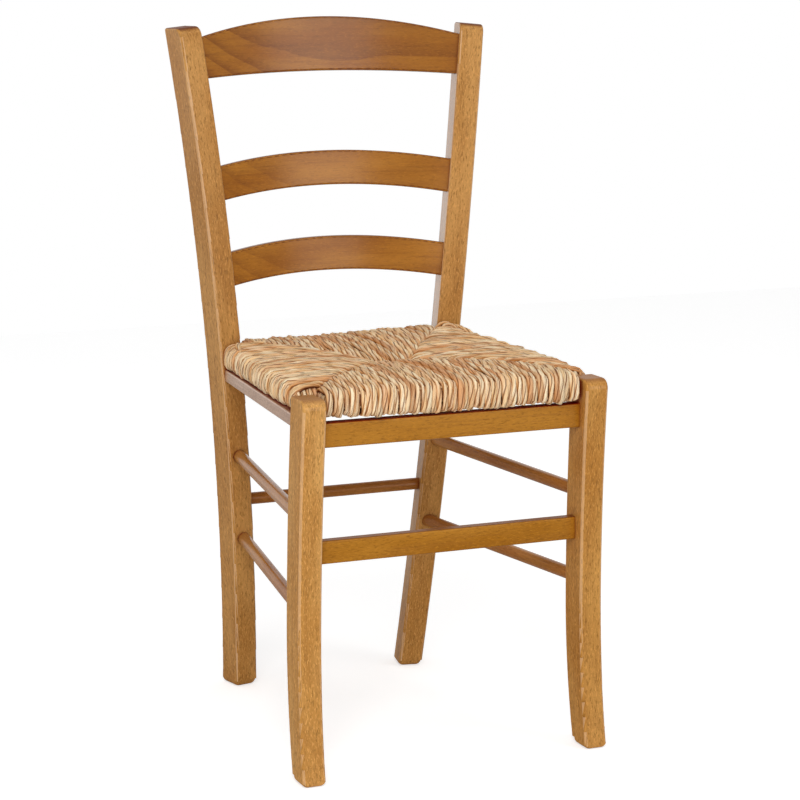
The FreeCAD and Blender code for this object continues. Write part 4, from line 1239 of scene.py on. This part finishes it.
@dataclass
class RushSeat:
    """The woven seat: four panels of strands over packing, with its tied corners."""

    form: SeatForm = field(default_factory=SeatForm)
    pitch: float = 0.0070
    inset: float = 0.0034
    core_inset: float = 0.0045
    packing_rows: int = 25
    packing_gap: float = 0.0035
    packing_short: float = 0.0005
    seed: int = 41

    # The mitres
    over_mitre: float = 0.004
    short_of_mitre: float = 0.001
    dive: float = 0.0055
    dive_under: float = 0.6
    top_run: float = 0.008
    lower_run: float = 0.012
    taper: float = 0.35
    taper_run: float = 0.012

    # The form that the seat has settled into: rises start at a place and run over a length
    beside_leg: float = 0.0045
    rear_rise: float = 0.0045
    right_rise: float = 0.0052
    rise_x: tuple[float, float] = (-0.02, 0.16)
    rise_y: tuple[float, float] = (-0.15, 0.32)
    corner_drop: float = 0.008
    corner_edge: float = 0.194
    left_corner: float = 0.178
    right_corner: float = 0.155
    corner_fade: float = 0.016
    leg_drop: float = 0.003
    leg_fade: float = 0.01
    left_corner_drop: float = 0.0065

    # How far the front strands sag below their rail
    left_sag: float = 0.0030
    middle_sag: float = 0.0040
    left_sag_half: float = 0.16
    right_sag: float = 0.0070
    right_sag_loss: float = 0.0012
    right_sag_end: float = 0.12
    right_sag_run: float = 0.04

    # The walls of the notches round legs and posts
    notch_edge: float = 0.005
    wall_inside: float = 0.0005
    leg_clear: float = 0.0008
    wall_foot: float = 0.003
    wall_top: float = 0.0135
    wall_bend: float = 0.006
    wall_steps: int = 4
    wall_reach: float = 0.016
    wall_dip: float = 0.001

    def panel_guides(self, side: Side) -> list[Guide]:
        """Lays out the strands of a panel, each one round its rail from mitre to mitre.

        Args:
            side: The panel.

        Returns:
            The guides.
        """
        rng = np.random.default_rng(self.seed + len(side.value) * 7 + ord(side.value[0]))
        form = self.form
        low, high = form.edge_span(side)
        on_top = side in (Side.LEFT, Side.RIGHT)
        if side is Side.FRONT:
            low, high = low - self.beside_leg, high + self.beside_leg
        count = round((high - low) / self.pitch)
        lean = math.cos(form.lean) if on_top else 1.0
        extra = self.over_mitre if on_top else -self.short_of_mitre
        uneven, deepest = DEPTH_SPREAD[on_top]
        guides = []
        for index in range(count):
            place = low + (high - low) * (index + 0.5) / count + rng.normal(0.0, PLACE_SPREAD)
            reach = form.reach(side, place) * lean + extra + rng.normal(0.0, REACH_SPREAD)
            reach = max(reach, LEAST_REACH)
            inset = self.inset + float(np.clip(rng.normal(0.0, uneven), HIGHEST, deepest))
            hang = self.hang(side, place) + rng.normal(0.0, SAG_SPREAD)
            section = form.section(side, reach, inset, hang=hang)
            outer = form.section(side, reach, inset - PROBE, hang=hang)
            points = form.to_world(side, place, section)
            faces = form.to_world(side, place, outer) - points
            faces /= np.linalg.norm(faces, axis=1)[:, None]
            self.sink_ends(points, section[:, 0], reach, on_top)
            self.settle_form(side, points)
            ending = ramp(section[:, 0], reach - self.taper_run, self.taper_run)
            own = float(np.clip(rng.normal(1.0, GIRTH_SPREAD), *GIRTH_RANGE))
            girth = (1 - self.taper * ending ** 2) * own
            guides.append(Guide(points, faces, float(rng.uniform(*MARKS)), girth))
        return guides

    def hang(self, side: Side, place: float) -> float:
        """Tells how far a strand sags below its rail, most in the middle and right of the front.

        Args:
            side: The panel.
            place: Where the strand lies along the edge.

        Returns:
            The sag in metres.
        """
        if side is not Side.FRONT:
            return 0.0
        if place < 0:
            return self.left_sag + self.middle_sag * max(0.0, 1 - (place / self.left_sag_half) ** 2)
        return self.right_sag - self.right_sag_loss * max(0.0, (place - self.right_sag_end)
                                                     / self.right_sag_run)

    def sink_ends(self, points: np.ndarray, depth: np.ndarray, reach: float, on_top: bool) -> None:
        """Bends both ends of a strand into the seat where it meets its neighbour at the mitre.

        Args:
            points: The strand's points, changed in place.
            depth: Each point's depth from the outer edge.
            reach: The depth at which the strand stops.
            on_top: Whether the strand lies over its neighbour's end.
        """
        run = self.top_run if on_top else self.lower_run
        share = ramp(depth, reach - run, run) ** 2
        half = len(points) // 2
        points[half:, 2] -= self.dive * share[half:]
        points[:half, 2] += self.dive * share[:half] * self.dive_under

    def settle_form(self, side: Side, points: np.ndarray) -> None:
        """Raises the seat a little at the rear and lets it sink at its front corners.

        Args:
            side: The panel.
            points: The strand's points, changed in place.
        """
        form = self.form
        upper = ramp(points[:, 2], form.low, form.top - form.low)
        right = ramp(points[:, 0], *self.rise_x)
        back = ramp(points[:, 1], *self.rise_y) ** (1.5 - 0.5 * right)
        points[:, 2] += (self.rear_rise + self.right_rise * right) * upper * back
        out = np.abs(points[:, 0])
        if side in (Side.LEFT, Side.RIGHT):
            inner = self.left_corner if side is Side.LEFT else self.right_corner
            ahead = np.exp(-(points[:, 1] - form.front_notch[1]) / self.corner_fade)
            outward = ramp(out, inner, self.corner_edge - inner)
            points[:, 2] -= self.corner_drop * upper * ahead * outward
        elif side is Side.FRONT:
            near_leg = np.exp(-(form.front_notch[0] + self.beside_leg - out) / self.leg_fade)
            points[:, 2] -= self.leg_drop * upper * near_leg

    def notch_guides(self, sign_x: float, front: bool) -> list[Guide]:
        """Lays out the short strands down the wall of the seat behind a leg or before a post.

        Args:
            sign_x: -1 for the left corner and 1 for the right.
            front: Whether it is a front corner.

        Returns:
            The guides.
        """
        form = self.form
        notch_x, notch_y = form.front_notch if front else form.rear_notch
        inward = 1.0 if front else -1.0
        outer_x = form.side_x(notch_y) - self.notch_edge
        count = max(3, round((outer_x - notch_x) / self.pitch))
        rng = np.random.default_rng(self.seed + 5 + int(sign_x) + 3 * front)
        guides = []
        for index in range(count):
            x = sign_x * (notch_x + (outer_x - notch_x) * (index + 0.5) / count)
            wall = Vector((x, notch_y - inward * self.wall_inside, 0.0))
            guides.append(self.wall_strand(wall, Vector((0.0, inward, 0.0)), rng))
        if front:
            for back in BESIDE_LEG:
                wall = Vector((sign_x * (notch_x + self.leg_clear), notch_y - back, 0.0))
                guides.append(self.wall_strand(wall, Vector((-sign_x, 0.0, 0.0)), rng))
        return guides

    def wall_strand(self, wall: Vector, inward: Vector, rng: np.random.Generator) -> Guide:
        """Lays one strand up an inner wall of the seat and over its top.

        Args:
            wall: The place on the wall, in plan.
            inward: The way into the seat.
            rng: The seat's random numbers.

        Returns:
            The guide.
        """
        form = self.form
        bend, steps = self.wall_bend, self.wall_steps
        top = form.top - self.wall_top
        up = Vector((0.0, 0.0, 1.0))
        line = [wall + up * z for z in np.linspace(form.low + self.wall_foot, top, steps)]
        faces = [-inward] * steps
        for k in range(1, steps + 1):
            angle = math.pi / 2 * k / steps
            line.append(wall + inward * bend * (1 - math.cos(angle))
                        + up * (top + bend * math.sin(angle)))
            faces.append(up * math.sin(angle) - inward * math.cos(angle))
        line.append(wall + inward * self.wall_reach + up * (top + bend - self.wall_dip))
        faces.append(up)
        return Guide(np.array(line), np.array(faces), float(rng.uniform(*MARKS)),
                     np.full(len(line), float(rng.uniform(*WALL_GIRTH))))

    def corner_guides(self, sign_x: float) -> list[Guide]:
        """Lays out the strands that are tied round a rear corner, before the post.

        Args:
            sign_x: -1 for the left corner and 1 for the right.

        Returns:
            The guides.
        """
        guides = []
        drop = 0.0 if sign_x > 0 else self.left_corner_drop
        for index, (girth, run) in enumerate(CORNER_RUNS if sign_x > 0 else CORNER_RUNS[:1]):
            line = np.array(run) * (sign_x, 1.0, 1.0) - (0.0, 0.0, drop)
            faces = np.tile((0.0, -0.25, 1.0), (len(line), 1))
            faces /= np.linalg.norm(faces, axis=1)[:, None]
            smooth = self.smoothed(line)
            guides.append(Guide(smooth, self.smoothed(faces), 3.1 + index * 1.7 + sign_x,
                                np.full(len(smooth), girth)))
        return guides

    @staticmethod
    def smoothed(rows: np.ndarray) -> np.ndarray:
        """Rounds a polyline by cutting its corners twice.

        Args:
            rows: Its points.

        Returns:
            The points of the rounder line.
        """
        for _ in range(2):
            quarter = rows[:-1] * 0.75 + rows[1:] * 0.25
            three = rows[:-1] * 0.25 + rows[1:] * 0.75
            middle = np.stack((quarter, three), axis=1).reshape(-1, rows.shape[1])
            rows = np.concatenate((rows[:1], middle[1:-1], rows[-1:]))
        return rows

    def core_mesh(self) -> bpy.types.Mesh:
        """Builds the packing under the strands, one closed block for each panel.

        Returns:
            The mesh.
        """
        form = self.form
        points: list[Sequence[float]] = []
        faces: list[Sequence[int]] = []
        for side in Side:
            lean = 1.0 if side in (Side.FRONT, Side.REAR) else math.cos(form.lean)
            low, high = form.edge_span(side)
            places = np.linspace(low + self.packing_gap, high - self.packing_gap, self.packing_rows)
            rings = []
            for place in places:
                reach = max(form.reach(side, place) * lean - self.packing_short, LEAST_REACH)
                fine = reach / (form.panel_deep(side) / form.deep) - form.bend
                step = max(fine / PACKING_STEPS, 1e-4)
                section = form.section(side, reach, self.core_inset, step)
                rings.append(form.to_world(side, place, section))
            size = min(len(ring) for ring in rings)
            start = len(points)
            for ring in rings:
                points.extend(ring[:size].tolist())
            for row in range(len(rings) - 1):
                for k in range(size):
                    after = (k + 1) % size
                    faces.append((start + row * size + k, start + row * size + after,
                                  start + (row + 1) * size + after, start + (row + 1) * size + k))
            faces.append([start + k for k in range(size)][::-1])
            faces.append([start + (len(rings) - 1) * size + k for k in range(size)])
        mesh = bpy.data.meshes.new("seat_packing")
        mesh.from_pydata(points, [], faces)
        work = bmesh.new()
        work.from_mesh(mesh)
        bmesh.ops.recalc_face_normals(work, faces=work.faces)
        work.to_mesh(mesh)
        work.free()
        return mesh

    def build(self) -> None:
        """Builds the packing, the strands and the finishes of the frame inside the seat."""
        straw = Straw().material()
        tree = StrandTree()
        core = new_piece("seat_packing", self.core_mesh())
        use_material(core, PACKED_STRAW.material())
        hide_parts("rush_seat", "seat_stuffing")
        self.settle(core)
        for side in Side:
            piece = tree.lay("rush_" + side.value, self.panel_guides(side), straw)
            self.settle(piece)
        corners = []
        for sign_x in (-1.0, 1.0):
            corners += self.notch_guides(sign_x, True) + self.notch_guides(sign_x, False)
            corners += self.corner_guides(sign_x)
        self.settle(tree.lay("rush_corners", corners, straw, Wander=0.0005))
        bare = BARE_WOOD.material()
        for name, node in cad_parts.items():
            if name.startswith("seat_") and (name.endswith("_rail") or name.endswith("_block")):
                use_material(node, bare)
        use_material(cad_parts["seat_screws"], ZincSteel().material())

    @staticmethod
    def settle(piece: bpy.types.Object) -> None:
        """Makes a piece of rush part of the chair and reports it.

        Args:
            piece: The piece.
        """
        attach(piece, "root")
        report(piece)


# Studio


@dataclass(frozen=True)
class Lamp:
    """A soft white lamp, or a card that shows only in reflections."""

    name: str
    place: Point
    size: tuple[float, float]
    watts: float
    aim: Point = (0.0, 0.0, 0.5)
    only_gloss: bool = False

    def hang(self) -> None:
        """Hangs the lamp at its place, facing its aim."""
        light = bpy.data.lights.new(self.name, "AREA")
        light.shape = "RECTANGLE"
        light.size, light.size_y = self.size
        light.energy = self.watts
        hung = bpy.data.objects.new(self.name, light)
        hung.location = self.place
        towards = Vector(self.aim) - Vector(self.place)
        hung.rotation_euler = towards.to_track_quat("-Z", "Y").to_euler()
        hung.visible_diffuse = not self.only_gloss
        bpy.context.scene.collection.objects.link(hung)


LAMPS = (
    Lamp("key_lamp", (-1.6, -3.2, 2.7), (1.5, 1.5), 64.0),
    Lamp("window_card", (1.35, -2.95, 1.05), (1.3, 2.0), 54.0, (0.0, 0.0, 0.7), True),
    Lamp("side_lamp", (-3.0, -1.2, 0.8), (1.2, 1.5), 9.0),
    Lamp("low_lamp", (-1.1, -3.4, 0.5), (1.2, 0.7), 14.0, (0.0, 0.0, 0.45)),
    Lamp("top_lamp", (1.2, -1.4, 3.2), (0.8, 0.8), 12.0),
)


@dataclass
class Studio:
    """The pale floor, the soft light and the camera of the photograph."""

    eye: Point = (-1.187929, -2.785783, 0.960343)
    yaw: float = -22.270
    pitch: float = 11.374
    roll: float = -0.169
    focal_mm: float = 109.19
    shift: tuple[float, float] = (0.0625, 0.0625)
    ambient: float = 0.5
    floor_reach: float = 3.4
    floor_grey: float = 0.74
    floor_glow: float = 0.56

    def camera(self) -> None:
        """Sets the camera where the photograph was taken from."""
        yaw, pitch, roll = (math.radians(angle) for angle in (self.yaw, self.pitch, self.roll))
        forward = Vector((-math.sin(yaw) * math.cos(pitch), math.cos(yaw) * math.cos(pitch),
                          -math.sin(pitch)))
        right = forward.cross(Vector((0, 0, 1))).normalized()
        up = right.cross(forward)
        right, up = (right * math.cos(roll) + up * math.sin(roll),
                     up * math.cos(roll) - right * math.sin(roll))
        lens = bpy.data.cameras.new("camera")
        lens.lens = self.focal_mm
        lens.sensor_width = 36.0
        lens.shift_x, lens.shift_y = self.shift
        lens.clip_end = 60.0
        seen = bpy.data.objects.new("camera", lens)
        seen.matrix_world = Matrix((
            (right.x, up.x, -forward.x, self.eye[0]), (right.y, up.y, -forward.y, self.eye[1]),
            (right.z, up.z, -forward.z, self.eye[2]), (0, 0, 0, 1)))
        bpy.context.scene.collection.objects.link(seen)
        bpy.context.scene.camera = seen

    def floor(self) -> None:
        """Lays a wide pale floor that reads white to the camera and still takes a soft shadow."""
        mesh = bpy.data.meshes.new("studio_floor")
        reach = self.floor_reach
        mesh.from_pydata([(-reach, -reach, 0), (reach, -reach, 0), (reach, reach, 0),
                          (-reach, reach, 0)], [], [(0, 1, 2, 3)])
        piece = new_piece("studio_floor", mesh)
        shader = Shader("pale_floor")
        seen = shader.node("LightPath").outputs["Is Camera Ray"]
        shader.finish(Base_Color=(self.floor_grey,) * 3, Roughness=0.9, Specular_IOR_Level=0.1,
                      Emission_Color=(1.0, 1.0, 1.0),
                      Emission_Strength=shader.times(seen, self.floor_glow))
        use_material(piece, shader.material)

    def world(self) -> None:
        """Makes a white surround for the eye and for reflections, and a soft one for light."""
        world = bpy.data.worlds.new("studio")
        world.use_nodes = True
        nodes = Nodes(world.node_tree)
        path = nodes.node("LightPath").outputs
        shown = path["Is Camera Ray"]
        for name in ("Is Glossy Ray", "Is Transmission Ray"):
            shown = nodes.maths("MAXIMUM", shown, path[name])
        level = nodes.node("MapRange", shown, None, None, self.ambient, 1.0).outputs[0]
        nodes.node("OutputWorld", nodes.node("Background", (1.0, 1.0, 1.0), level).outputs[0])
        bpy.context.scene.world = world

    def build(self) -> None:
        """Sets the whole studio."""
        self.camera()
        self.floor()
        self.world()
        for lamp in LAMPS:
            lamp.hang()
        bpy.context.scene.view_settings.view_transform = "Standard"


def main() -> None:
    """Builds the chair and the studio in order."""
    logging.basicConfig(level=logging.INFO, format="%(name)s: %(message)s")
    Joinery().build()
    RushSeat().build()
    Studio().build()


if __name__ == "__main__":
    main()
